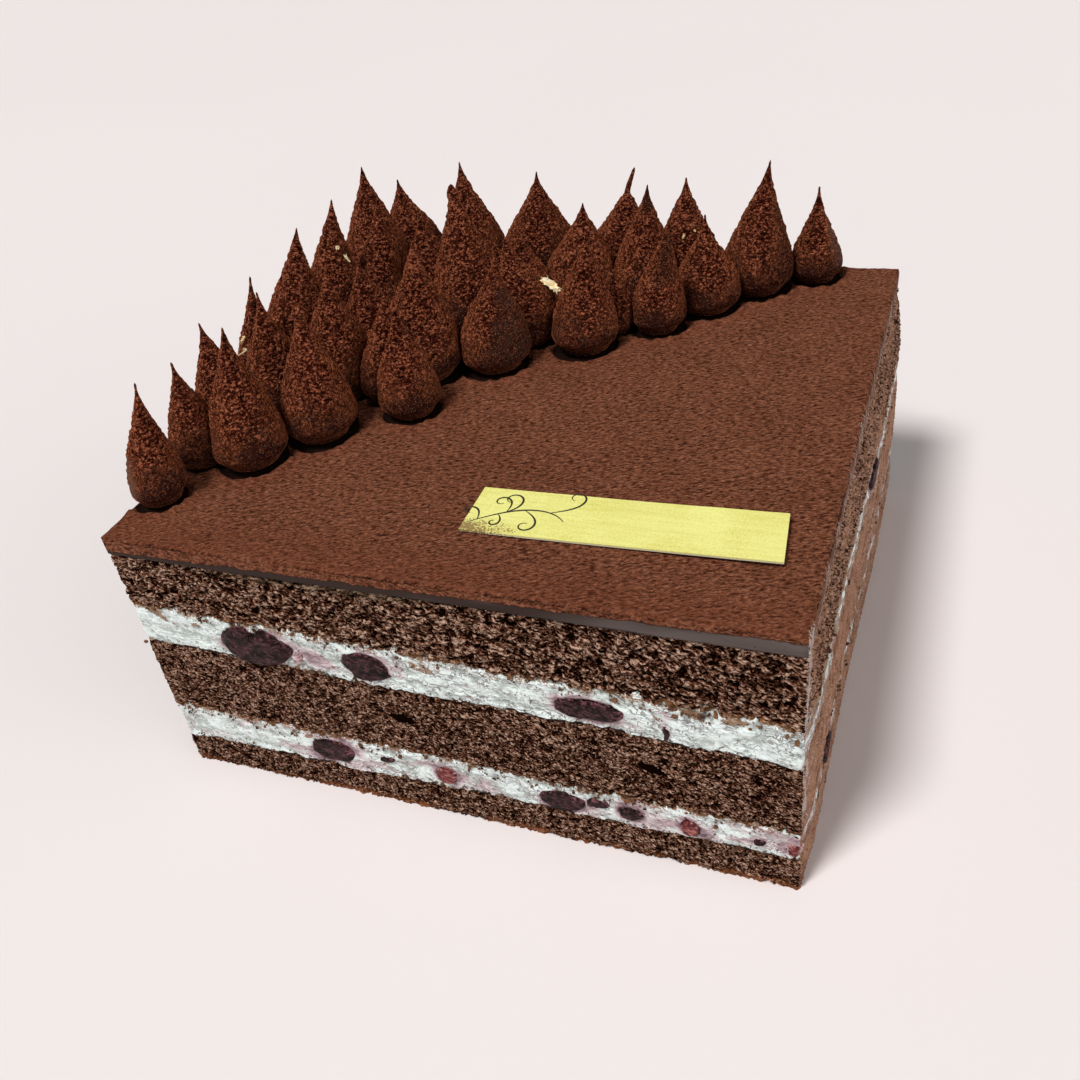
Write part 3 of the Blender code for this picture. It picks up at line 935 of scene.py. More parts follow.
def knife_smears(points: np.ndarray) -> tuple[np.ndarray, np.ndarray]:
    """Return where the knife dragged brown paste and white cream over the right side, from 0 to 1.

    Args:
        points: places, n x 3.

    Returns:
        How much paste and how much cream there is at each point.
    """
    right = side_share(points, "right")
    from_top = TOP - points[:, 2]
    slanting = points - np.outer(0.3 * (points[:, 1] + points[:, 0]), (0, 0, 1))
    streaks = STREAKS.rough(slanting, (14 * MM, 14 * MM, 1.4 * MM), 3)
    patches = PATCHES.smooth(points, (24 * MM, 24 * MM, 12 * MM))
    veins = VEINS.rough(slanting, (1.1 * MM, 1.1 * MM, 5 * MM), 3)
    lower = ease(from_top, 22 * MM, 32 * MM)
    paste = (0.25 + 0.6 * ease(streaks + 0.5 * patches + 0.9 * lower, -0.3, 0.7)) * right
    near_top = 1 - ease(from_top + 3 * MM * patches, 3 * MM, 11 * MM)
    near_top = 0.8 * ease(veins + 0.4 * patches, -0.1, 0.7) * right * near_top
    below = 0.8 * ease(streaks - 0.4 * patches, 0.25, 0.65) * right * ease(lower, 0.2, 0.8)
    past_corner = (going_round(points) - 1) * 2 * HALF
    at_edge = 1 - ease(np.abs(past_corner - 1.2 * MM), 1.0 * MM, 5.0 * MM)
    at_edge *= 1.5 * side_share(points, "right", SHARP_BLEND) * ease(points[:, 2], 16 * MM, 30 * MM)
    at_edge *= ease(veins + 0.35, -0.1, 0.5)
    return paste, np.maximum.reduce([near_top, below, at_edge])


@dataclass(frozen=True)
class Spot:
    """A ragged spot on the front, in mm, with its turn in degrees."""

    along: float
    up: float
    half_length: float
    half_width: float
    turn: float = 0.0


def spot_share(points: np.ndarray, spots: tuple[Spot, ...]) -> np.ndarray:
    """Return 1 in ragged spots on the front and 0 outside them.

    Args:
        points: places on the sides, n x 3.
        spots: where the spots are.

    Returns:
        One number for each point.
    """
    found = np.zeros(len(points))
    rags = RAGS.rough(points, 1.4 * MM, 3)
    for spot in spots:
        c, s = math.cos(math.radians(spot.turn)), math.sin(math.radians(spot.turn))
        x, z = points[:, 0] / MM - spot.along, points[:, 2] / MM - spot.up
        apart = np.hypot((c * x + s * z) / spot.half_length, (c * z - s * x) / spot.half_width)
        found = np.maximum(found, 1 - ease(apart + 0.5 * rags, 0.6, 1.15))
    return found * side_share(points, "front", 0.002)


def swell_right(points: np.ndarray) -> np.ndarray:
    """Let the right side bulge a little towards its back and below, as it does.

    Args:
        points: places, n x 3.

    Returns:
        The moved places.
    """
    bulge = ease(points[:, 1], -HALF, -HALF + 14 * MM) * (0.9 + 1.2 * ease(points[:, 1], -20 * MM, 40 * MM))
    bulge *= ease(TOP - points[:, 2], 1 * MM, 22 * MM) * ease(points[:, 0], 55 * MM, HALF - 2 * MM)
    moved = points.copy()
    moved[:, 0] += MM * bulge
    return moved


@dataclass
class Sponge(Band):
    """A chocolate sponge cut by the knife: close pores of two sizes between ragged lumps."""

    lump: float = 1.9 * MM      # width of the larger lumps
    depth: float = 1.5 * MM     # how deep the gaps between them are
    fall: float = 0.3           # how steeply the lumps fall to the right along the front
    wide: tuple[float, float, float] = (1.2, 1.2, 0.65)     # their proportions
    dry: float = 0.0            # how much paler its top is, towards the left of the front
    crust: float = 3.4 * MM     # how high the baked crust reaches above the base
    hole_length: float = 2.4 * MM   # half the length of an air hole
    hole_width: float = 0.9 * MM    # and of its width
    hole_depth: float = 0.5 * MM
    holes: tuple[tuple[float, float], ...] = ()     # air holes: how far round the cake, and height

    def find_holes(self, points: np.ndarray, ragged: np.ndarray) -> np.ndarray:
        """Return 1 in the air holes and 0 outside them.

        Args:
            points: places on the sides, n x 3.
            ragged: noise that breaks up their outlines.

        Returns:
            One number for each point.
        """
        found = np.zeros(len(points))
        for place, height in self.holes:
            along = (going_round(points) - place) * 2 * HALF / self.hole_length
            up = (points[:, 2] - height) / self.hole_width + 0.5 * along
            found = np.maximum(found, 1 - ease(np.hypot(along, up) + 0.35 * ragged, 0.9, 1.3))
        return found

    def find_pits(self, points: np.ndarray, lumps: np.ndarray) -> np.ndarray:
        """Work out how deep the crumb is pitted.

        Args:
            points: places on the sides, n x 3.
            lumps: noise of the finest lumps.

        Returns:
            About 0 on the tops of the lumps and 1 in the deepest gaps, for each point.
        """
        push = [Grain(self.seed + k).smooth(points, self.lump) for k in (7, 8, 9)]
        torn = points + 0.5 * self.lump * np.stack(push, axis=1)
        torn[:, 2] += self.fall * (points[:, 0] + points[:, 1])
        wide = np.array(self.wide)
        nearest, second, number = Grain(self.seed).cells(torn, self.lump * wide)
        gap = 1 - ease(second - nearest, 0.02, 0.32)
        missing = ease(number, 0.82, 0.92) * (1 - ease(nearest, 0.45, 0.8))
        nearest, second, height = Grain(self.seed + 1).cells(torn, 0.55 * self.lump * wide)
        small = 1 - ease(second - nearest, 0.02, 0.35)
        return 0.45 * gap + 0.7 * missing + 0.3 * small + 0.35 * (number + height - 1) - 0.25 * lumps

    def build(self, material: bpy.types.Material) -> bpy.types.Object:
        """Make the piece.

        Args:
            material: its finish.

        Returns:
            The piece.
        """
        mesh, points, above_low, below_top = self.make_band()
        on_base, on_cream = float(self.low_tear == 0), float(self.low_tear > 0)
        lumps = Grain(self.seed + 2).rough(points, 0.9 * MM, 2)
        swell = Grain(self.seed + 3).rough(points, 9 * MM, 2)
        pit = self.find_pits(points, lumps)
        hole = self.find_holes(points, lumps)
        depth = self.depth * (pit - 0.12 * swell) * (1 - hole) + self.hole_depth * hole
        rims = [rim for rim, seed in ((above_low, self.low_tear), (below_top, self.top_tear)) if seed]
        depth += self.lap_under(np.minimum.reduce(rims))
        depth += 0.35 * MM * on_base * (1 - ease(above_low, 0.0, 2.0 * MM))
        paste, white = knife_smears(points)
        to_edge = HALF - np.abs(points[:, :2]).min(axis=1)
        depth *= (1 - 0.6 * np.maximum(paste, white)) * (0.4 + 0.6 * ease(to_edge, 0.5 * MM, 5 * MM))
        self.press_in(mesh, points, depth + 0.1 * MM)
        # relief also sets the crumb's painted shade in the pits and painted highlights on the tops
        keep_number(mesh, "relief", np.clip(0.95 - 1.05 * pit, 0, 1))
        keep_number(mesh, "soak", on_cream * (1 - ease(above_low, -0.2 * MM, 1.8 * MM)))
        baked = ease(Grain(self.seed + 4).rough(points, 7 * MM, 3), -0.35, 0.15)
        keep_number(mesh, "crust", baked * on_base * (1 - ease(above_low, 0.0, self.crust)))
        keep_number(mesh, "paste", paste)
        keep_number(mesh, "white", white)
        leftward = 1 - ease(np.abs(points[:, 0] + 25 * MM), 15 * MM, 45 * MM)
        keep_number(mesh, "dry", self.dry * leftward * (1 - ease(below_top, 0.5 * MM, 5 * MM)))
        # the air holes are darkened with painted shade
        keep_number(mesh, "hole", hole)
        return add_piece(self.node + "_piece", mesh, material, "sponge", self.node)


@dataclass
class Cream(Band):
    """A layer of cherry cream, smeared along by the knife, hollow where its cherries sit."""

    cherries: tuple[str, ...] = ()
    pocket: float = 2.2 * MM    # how deep it is hollowed out for them
    veil: float = 0.0           # how much fruit juice has run through it
    fine_crumb: float = 0.3     # how much dark crumb sticks to its lower rim
    stains: tuple[Spot, ...] = ()       # spots of juice
    smears: tuple[Spot, ...] = ()       # and of brown crumb

    def fruit(self, points: np.ndarray) -> np.ndarray:
        """Work out how near each point is to a cherry.

        Args:
            points: places on the sides, n x 3.

        Returns:
            1 at a cherry's outline, less outside and more inside it, for each point.
        """
        near = np.zeros(len(points))
        for node in self.cherries:
            low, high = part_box(node)
            middle, size = (low + high) / 2, (high - low) / 2
            across = 0 if size.x > size.y else 1
            deep = 1 - across
            apart = ((points[:, across] - middle[across]) / size[across]) ** 2
            apart += ((points[:, 2] - middle.z) / size.z) ** 2
            same_side = np.abs(points[:, deep] - middle[deep]) < 8 * MM
            near = np.maximum(near, np.where(same_side, 1 / np.maximum(np.sqrt(apart), 0.2), 0))
        return near

    def build(self, material: bpy.types.Material) -> bpy.types.Object:
        """Make the piece.

        Args:
            material: its finish.

        Returns:
            The piece.
        """
        mesh, points, above_low, below_top = self.make_band()
        drag = Grain(self.seed).rough(points, (6 * MM, 6 * MM, 1.2 * MM), 3)
        lumps = Grain(self.seed + 1).rough(points, 2.2 * MM, 3)
        bubbles = 1 - ease(Grain(self.seed + 2).cells(points, 2.4 * MM)[0], 0.12, 0.32)
        near = self.fruit(points)
        inside = np.minimum(above_low, below_top)
        depth = MM * (0.5 - 0.35 * drag - 0.35 * lumps + 0.3 * bubbles)
        depth += self.pocket * ease(near, 1.0, 1.35)
        self.press_in(mesh, points, depth + self.lap_under(inside))
        patches = Grain(self.seed + 6).rough(points, (7 * MM, 7 * MM, 4 * MM), 3)
        keep_number(mesh, "relief", np.clip(0.6 + 0.8 * drag + 0.9 * lumps - bubbles, 0, 1))
        leftward = side_share(points, "front") * (1 - ease(points[:, 0], -60 * MM, -20 * MM))
        keep_number(mesh, "curly", 0.75 - 0.65 * leftward)
        right = side_share(points, "right", SHARP_BLEND)
        juice = 1.1 * ease(near, 0.5, 1.05) * ease(patches, -0.5, 0.4)
        stain = juice + self.veil + 0.7 * patches + 0.4 * right
        keep_number(mesh, "stain", stain + 0.65 * spot_share(points, self.stains))
        smeared = spot_share(points, self.smears)
        dust = 0.75 * (1 - ease(below_top, -0.3 * MM, 3.2 * MM)) + 0.9 * smeared
        covered = right * (1 - ease(inside + 2.2 * MM * patches, 3.4 * MM, 4.8 * MM))
        keep_number(mesh, "dust", np.maximum(dust, covered))
        low_rim = 1 - ease(above_low, 0.2 * MM, 2.4 * MM)
        keep_number(mesh, "dirt", low_rim * (self.fine_crumb + 0.6 * patches) + 0.4 * smeared)
        # painted shadow in the gap along the lower rim, broken in places
        broken = ease(Grain(self.seed + 8).rough(points, 5 * MM, 3), -0.15, 0.15)
        keep_number(mesh, "gap", broken * (1 - ease(above_low, 0.3 * MM, 1.0 * MM)))
        return add_piece(self.node + "_piece", mesh, material, "cream", self.node)


# ---------------------------------------------------------------- glaze and cocoa

@dataclass
class GlazeTop:
    """The dark glaze with cocoa on it: a pebbled top, a soft rim and a smooth satin edge."""

    step: float = 0.56 * MM
    rim: float = 0.7 * MM       # round of its upper edge
    tuck: float = 0.1 * MM      # how far the edge reaches under the solid's lower face
    side_rows: int = 9
    seed: int = 41
    feet: list[tuple[np.ndarray, float]] = field(default_factory=list)   # peaks' middles and radii

    def make_shell(self) -> bpy.types.Mesh:
        """Make a fine square sheet with rows of faces hanging from its rim, each 1 m high, closed below.

        Returns:
            The mesh.
        """
        bm = bmesh.new()
        cuts = round(2 * HALF / self.step)
        bmesh.ops.create_grid(bm, x_segments=cuts, y_segments=cuts, size=HALF)
        for _ in range(self.side_rows):
            rim = [e for e in bm.edges if e.is_boundary]
            new = bmesh.ops.extrude_edge_only(bm, edges=rim)["geom"]
            verts = [g for g in new if isinstance(g, bmesh.types.BMVert)]
            bmesh.ops.translate(bm, verts=verts, vec=(0, 0, -1.0))
        rim = [e for e in bm.edges if e.is_boundary]
        bmesh.ops.holes_fill(bm, edges=rim, sides=0)
        bmesh.ops.recalc_face_normals(bm, faces=bm.faces)
        return to_mesh("glaze_top_piece", bm)

    def from_feet(self, points: np.ndarray) -> np.ndarray:
        """Return how far each point is from the nearest peak's foot, unevenly.

        Args:
            points: places, n x 3.

        Returns:
            One length for each point, below 0 under a foot.
        """
        apart = np.full(len(points), 1.0)
        for centre, radius in self.feet:
            apart = np.minimum(apart, np.linalg.norm(points[:, :2] - centre[:2], axis=1) - radius)
        return apart + 0.9 * MM * Grain(self.seed + 5).rough(points, 9 * MM, 2)

    def build(self, material: bpy.types.Material) -> bpy.types.Object:
        """Make the piece.

        Args:
            material: its finish.

        Returns:
            The piece.
        """
        mesh = self.make_shell()
        points = read_points(mesh)
        row = -points[:, 2]
        on_side = row > 0.5
        up = ~on_side
        share = np.clip((row - 1) / (self.side_rows - 1), 0, 1)
        lower = Band("glaze_top", 0).faces(going_round(points))[0]
        points = round_corners(points)
        edge = np.maximum(HALF - np.abs(points[:, :2]).max(axis=1), 0)
        drop = self.rim * (1 - np.sqrt(1 - (1 - np.clip(edge / self.rim, 0, 1)) ** 2))
        hanging = (TOP - self.rim) * (1 - share) + (lower - self.tuck) * share
        points[:, 2] = np.where(on_side, hanging, TOP - drop)
        apart = self.from_feet(points)
        bank = ease(apart, 0.2 * MM, 1.2 * MM) * (1 - ease(apart, 1.4 * MM, 3.6 * MM))
        trench = 1 - ease(apart, -0.8 * MM, 0.8 * MM)
        nearest = Grain(self.seed).cells(points, 1.3 * MM)[0]
        swell = Grain(self.seed + 1).rough(points, 14 * MM, 2)
        lumps = Grain(self.seed + 2).rough(points, 1.6 * MM, 2)
        rise = MM * (0.12 * (swell - nearest) + 0.15 * lumps)
        rise += MM * (0.4 * bank * (1 + 1.5 * lumps) - 0.9 * trench)
        points[:, 2] += np.where(up, rise, 0)
        wave = 0.12 * MM * Grain(self.seed + 3).rough(points, (6 * MM, 6 * MM, 3 * MM), 3)
        points += outward(points) * np.where(on_side & (share < 0.999), wave, 0)[:, None]
        write_points(mesh, points)
        ragged = Grain(self.seed + 4).rough(points, 2.6 * MM, 3)
        front, right = (side_share(points, side, SHARP_BLEND) for side in ("front", "right"))
        to_right = (points[:, 0] + HALF) / (2 * HALF)
        covered = MM * (1.0 + 2.5 * right + front * (2.7 - 2.4 * to_right) + 0.4 * ragged)
        keep_number(mesh, "cocoa", np.where(up, 1.0, 0.5 + (covered - TOP + points[:, 2]) / MM))
        # painted satin sheen on the glaze edge, stronger towards the front's right
        keep_number(mesh, "worn", 0.35 + front * (to_right - 0.7) + 0.2 * swell)
        near_front = 1 - ease(points[:, 1] + HALF, 3 * MM, 14 * MM)
        keep_number(mesh, "red", np.maximum(near_front, 1 - ease(apart, 2 * MM, 7 * MM)) * up)
        # painted contact shadow round the peaks' feet
        keep_number(mesh, "bare", (1 - ease(apart + 0.5 * MM * ragged, -0.7 * MM, 0.7 * MM)) * up)
        paste, white = knife_smears(points)
        near_edge = 0.5 * (1 - ease(edge + 0.3 * MM * ragged, 0.1 * MM, 0.8 * MM))
        near_edge = np.where(on_side, 1.0, near_edge)
        keep_number(mesh, "paste", near_edge * np.maximum(paste, 0.6 * right))
        keep_number(mesh, "white", near_edge * white)
        return add_piece("glaze_top_piece", mesh, material, "cocoa_glaze", "glaze_top")


# ---------------------------------------------------------------- peaks

class Tip(Enum):
    """How a peak ends where the piping bag was lifted off."""

    NEEDLE = "needle"
    KNOB = "knob"
    FINGER = "finger"
    BENT = "bent"


@dataclass(frozen=True)
class SmoothPatch:
    """A patch of a peak that has little cocoa on it and a painted greyish sheen."""

    way: float                  # it faces, as an angle from the cake's right
    low: float                  # where it starts and ends, as shares of the height
    high: float
    grey: float                 # how strong its painted greyish sheen is
    bare: float                 # and how bare of cocoa


def round_end(share: np.ndarray, reach: float) -> np.ndarray:
    """Return 1 that falls to 0 at a share of 1, as a round end does over its last reach."""
    return np.sqrt(np.clip((1 - share) / reach, 0, 1))


@dataclass
class Peak:
    """A piped drop of chocolate, read from its solid and covered with grains of cocoa."""

    node: str
    seed: int
    tip: Tip = Tip.NEEDLE
    patch: SmoothPatch | None = None
    columns: int = 124          # of faces round it
    rows: int = 74              # and up it
    directions: int = 48        # in which the solid is measured
    levels: int = 30            # at which it is measured
    last_level: float = 0.97
    sink: float = 0.45 * MM     # how far its foot is pressed into the cocoa
    grain: float = 1.15 * MM    # width of its larger grains
    shares: np.ndarray = field(init=False)      # of the height, where the solid is measured
    middles: np.ndarray = field(init=False)     # its middle there
    table: np.ndarray = field(init=False)       # its radius there, by direction

    def __post_init__(self) -> None:
        """Measure the solid level by level, starting from the middle of its foot."""
        tree = node_tree(self.node)
        points = read_points(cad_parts[self.node].data)
        foot = points[points[:, 2] < points[:, 2].min() + 1e-5].mean(axis=0)
        summit = points[np.argmax(points[:, 2])]
        self.shares = np.linspace(0.004, self.last_level, self.levels)
        middles, table, drift = [], [], np.zeros(3)
        middle = foot.copy()
        for share in self.shares:
            middle = middle + drift
            middle[2] = foot[2] + (summit[2] - foot[2]) * share
            for _ in range(2):
                spots = self.spots_round(tree, middle)
                middle = spots.mean(axis=0)
            drift = np.zeros(3) if not middles else middle - middles[-1]
            middles.append(middle)
            table.append(np.linalg.norm(self.spots_round(tree, middle) - middle, axis=1))
        self.shares = np.append(self.shares, 1.0)
        self.middles = np.vstack([middles, summit])
        self.table = self.without_facets(np.array(table))

    def spots_round(self, tree: BVHTree, middle: np.ndarray) -> np.ndarray:
        """Return where level rays from a middle meet the solid, n x 3.

        Args:
            tree: the solid's faces.
            middle: where the rays start.

        Returns:
            One place for each direction, n x 3.
        """
        spots = []
        for turn in range(self.directions):
            angle = math.tau * turn / self.directions
            hit = tree.ray_cast(Vector(middle), Vector((math.cos(angle), math.sin(angle), 0)))[0]
            spots.append(middle if hit is None else np.array(hit))
        return np.array(spots)

    def without_facets(self, table: np.ndarray) -> np.ndarray:
        """Return the radii smoothed round and up the peak, with a last row of 0 for its tip.

        Args:
            table: radii, level by level and direction by direction.

        Returns:
            The smoothed radii.
        """
        kernel = ((-2, 1), (-1, 2), (0, 3), (1, 2), (2, 1))
        table = sum(weight * np.roll(table, shift, axis=1) for shift, weight in kernel) / 9
        inner = (table[:-2] + 2 * table[1:-1] + table[2:]) / 4
        return np.vstack([table[:1], inner, table[-1:], np.zeros((1, self.directions))])

    def axis(self, share: np.ndarray) -> np.ndarray:
        """Return the middle of the peak at shares of its height, n x 3.

        Args:
            share: shares of the height.

        Returns:
            Places, n x 3.
        """
        low, high = self.middles[0, 2], self.middles[-1, 2]
        height = low + (high - low) * (share - self.shares[0]) / (1 - self.shares[0])
        level = [np.interp(share, self.shares, self.middles[:, i]) for i in range(2)]
        return np.stack([*level, height], axis=1)

    def radius(self, share: np.ndarray, angle: np.ndarray) -> np.ndarray:
        """Return the smooth radius at shares of the height and angles round the axis.

        Args:
            share: shares of the height.
            angle: angles round the axis.

        Returns:
            One number for each point.
        """
        row = np.clip(np.interp(share, self.shares, np.arange(len(self.shares))), 0, len(self.shares) - 1.001)
        column = (angle / math.tau * self.directions) % self.directions
        r0, c0 = row.astype(int), column.astype(int)
        fr, fc = row - r0, column - c0
        c1 = (c0 + 1) % self.directions
        near = self.table[r0, c0] * (1 - fc) + self.table[r0, c1] * fc
        far = self.table[r0 + 1, c0] * (1 - fc) + self.table[r0 + 1, c1] * fc
        return near * (1 - fr) + far * fr

    def shape_tip(self, share: np.ndarray, radius: np.ndarray, middle: np.ndarray) -> np.ndarray:
        """Give the tip its own form.

        Args:
            share: shares of the height.
            radius: the radius there.
            middle: the axis there, which may be bent in place.

        Returns:
            The new radius.
        """
        if self.tip is Tip.KNOB:
            return radius + 1.1 * MM * np.exp(-((share - 0.93) / 0.05) ** 2)
        if self.tip is Tip.FINGER:
            return np.maximum(radius, 1.3 * MM * ease(share, 0.6, 0.8) * round_end(share, 0.06))
        if self.tip is Tip.BENT:
            middle[:, 0] += MM * (1.6 * ease(share, 0.86, 1.0) - 0.3 * ease(share, 0.5, 0.86))
            middle[:, 2] += 3.4 * MM * ease(share, 0.84, 1.0)
            stalk = (0.75 - 0.35 * ease(share, 0.86, 1.0)) * MM * round_end(share, 0.03)
            return radius + (stalk - radius) * ease(share, 0.8, 0.88)
        return np.maximum(radius, 0.28 * MM * round_end(share, 0.02) * (share > 0.8))

    def make_shell(self) -> bpy.types.Mesh:
        """Spin a tube 1 m high and in radius, closed at both ends.

        Returns:
            The mesh.
        """
        bm = bmesh.new()
        wall = [(1.0, row / (self.rows - 1)) for row in range(self.rows - 1)]
        verts = [bm.verts.new((r, 0, z)) for r, z in [(0.0, 0.0), *wall, (0.0, 1.0)]]
        edges = [bm.edges.new(pair) for pair in zip(verts, verts[1:])]
        bmesh.ops.spin(bm, geom=verts + edges, cent=(0, 0, 0), axis=(0, 0, 1), angle=math.tau,
                       steps=self.columns, use_merge=True)
        bmesh.ops.remove_doubles(bm, verts=bm.verts, dist=1e-5)
        bmesh.ops.recalc_face_normals(bm, faces=bm.faces)
        return to_mesh(self.node + "_piece", bm)

    def build(self, material: bpy.types.Material) -> bpy.types.Object:
        """Make the piece.

        Args:
            material: its finish.

        Returns:
            The piece.
        """
        mesh = self.make_shell()
        unit = read_points(mesh)
        share, angle = unit[:, 2], np.arctan2(unit[:, 1], unit[:, 0])
        points = self.axis(share)
        radius = self.shape_tip(share, self.radius(share, angle), points)
        radius *= 0.82 + 0.18 * ease(share, 0.0, 0.1)
        points[:, :2] += unit[:, :2] * radius[:, None]
        points[:, 2] -= self.sink * (1 - ease(share, 0.0, 0.08))
        write_points(mesh, points)
        normals = read_normals(mesh)
        nearest = Grain(self.seed).cells(points, self.grain)[0]
        lumps = Grain(self.seed + 1).rough(points, 2.4 * MM, 2)
        swell = Grain(self.seed + 2).rough(points, 7 * MM, 2)
        patches = Grain(self.seed + 3).rough(points, 4 * MM, 2)
        cover = ease(share + 0.2 * patches, 0.04, 0.46)
        thick = np.clip(radius / (2.5 * MM), 0.12, 1)
        rise = MM * thick * (cover * (0.6 * (0.5 - nearest) + 0.25 * lumps) + 0.35 * swell)
        on_ground = share < 0.02
        points += normals * np.where(on_ground, 0, rise)[:, None]
        write_points(mesh, points)
        # relief also sets the painted shade between the grains and the painted highlights on them
        keep_number(mesh, "relief", np.clip(1.05 - nearest + 0.35 * lumps, 0, 1))
        # a smooth patch gets a painted greyish sheen and less cocoa
        grey, bare = np.zeros(len(points)), np.zeros(len(points))
        if self.patch is not None:
            inside = ease(np.cos(angle - self.patch.way) + 0.35 * patches, 0.2, 1.0)
            inside *= ease(share, self.patch.low, self.patch.low + 0.12)
            inside *= 1 - ease(share, self.patch.high - 0.12, self.patch.high)
            grey, bare = self.patch.grey * inside, self.patch.bare * inside
        keep_number(mesh, "cocoa", cover * (1 - bare))
        keep_number(mesh, "grey", grey)
        return add_piece(self.node + "_piece", mesh, material, "peak_chocolate", self.node)


# ---------------------------------------------------------------- cherries

HEART = "cherry_front_1"        # has a cleft in its upper edge, and is narrower and higher than its solid


@dataclass
class Cherry:
    """A cut cherry: an uneven flat face in the side of the cake and a round back."""

    name: str
    middle: Vector              # of its cut face
    width: float
    height: float
    turn: float                 # of the side that it is in, from the front
    seed: int
    nodes: tuple[str, ...] = ()
    waist: float = 0.0          # how far it is pinched in the middle
    notch: float = 0.0          # how deep a cleft its upper edge has
    least_depth: float = 2.5 * MM

    @classmethod
    def from_node(cls, node: str, seed: int) -> "Cherry":
        """Read a cherry's place and size from its solid.

        Args:
            node: the solid.
            seed: sets its lobes apart from the next one's.

        Returns:
            The cherry.
        """
        low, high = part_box(node)
        size = high - low
        turn = SIDES.index(node.split("_")[1]) * math.pi / 2
        facing = Matrix.Rotation(turn, 3, "Z") @ Vector((0, -1, 0))
        middle = (low + high) / 2 + Vector(abs(facing[i]) * size[i] / 2 for i in range(3)) * sum(facing)
        name, width = node + "_piece", max(size.x, size.y)
        if node == HEART:
            middle.x -= 0.9 * MM
            return cls(name, middle, 0.84 * width, 1.12 * size.z, turn, seed, (node,), notch=0.45)
        waist = 0.15 if width > 1.9 * size.z else 0.0
        return cls(name, middle, width, size.z, turn, seed, (node,), waist)

    def build(self, material: bpy.types.Material) -> bpy.types.Object:
        """Make the piece.

        Args:
            material: its finish.

        Returns:
            The piece.
        """
        bm = bmesh.new()
        bmesh.ops.create_uvsphere(bm, u_segments=112, v_segments=44, radius=1.0)
        bmesh.ops.rotate(bm, verts=bm.verts, matrix=Matrix.Rotation(math.pi / 2, 3, "X"))
        mesh = to_mesh(self.name, bm)
        unit = read_points(mesh)
        out = np.hypot(unit[:, 0], unit[:, 2])
        pinch = 1 - self.waist * np.exp(-((unit[:, 0] / 0.35) ** 2))
        pinch -= self.notch * np.exp(-(((unit[:, 0] - 0.08) / 0.14) ** 2)) * (unit[:, 2] > 0)
        size = np.array([self.width / 2, max(0.4 * self.width, self.least_depth), self.height / 2])
        points = unit * size
        points[:, 2] *= pinch * (1.0 + 0.4 * self.notch)
        lobes = Grain(self.seed).rough(points, 4.0 * MM, 2)
        points[:, [0, 2]] *= (1.1 + (0.34 - 0.6 * self.notch) * lobes)[:, None]
        for axis, way in ((0, 6), (2, 7)):
            rags = Grain(self.seed + way).rough(unit * size, 1.6 * MM, 3)
            points[:, axis] += (0.9 - 1.4 * self.notch) * MM * rags * ease(out, 0.4, 1.0)
        relief = Grain(self.seed + 1).rough(points, (2.2 * MM, 2.2 * MM, 0.9 * MM), 3)
        crown = MM * (0.3 + 2.4 * self.notch + 0.35 * relief - 1.5 * ease(out, 0.7, 1.0))
        points[:, 1] = np.where(unit[:, 1] < -1e-4, -crown, 1.2 * MM + points[:, 1])
        keep_number(mesh, "rim", ease(out, 0.55 + 0.6 * self.notch, 0.95 + 0.2 * self.notch))
        spin = np.array(Matrix.Rotation(self.turn, 3, "Z"))
        write_points(mesh, swell_right(points @ spin.T + np.array(self.middle)))
        return add_piece(self.name, mesh, material, "cherry", *self.nodes)


# ---------------------------------------------------------------- plaque

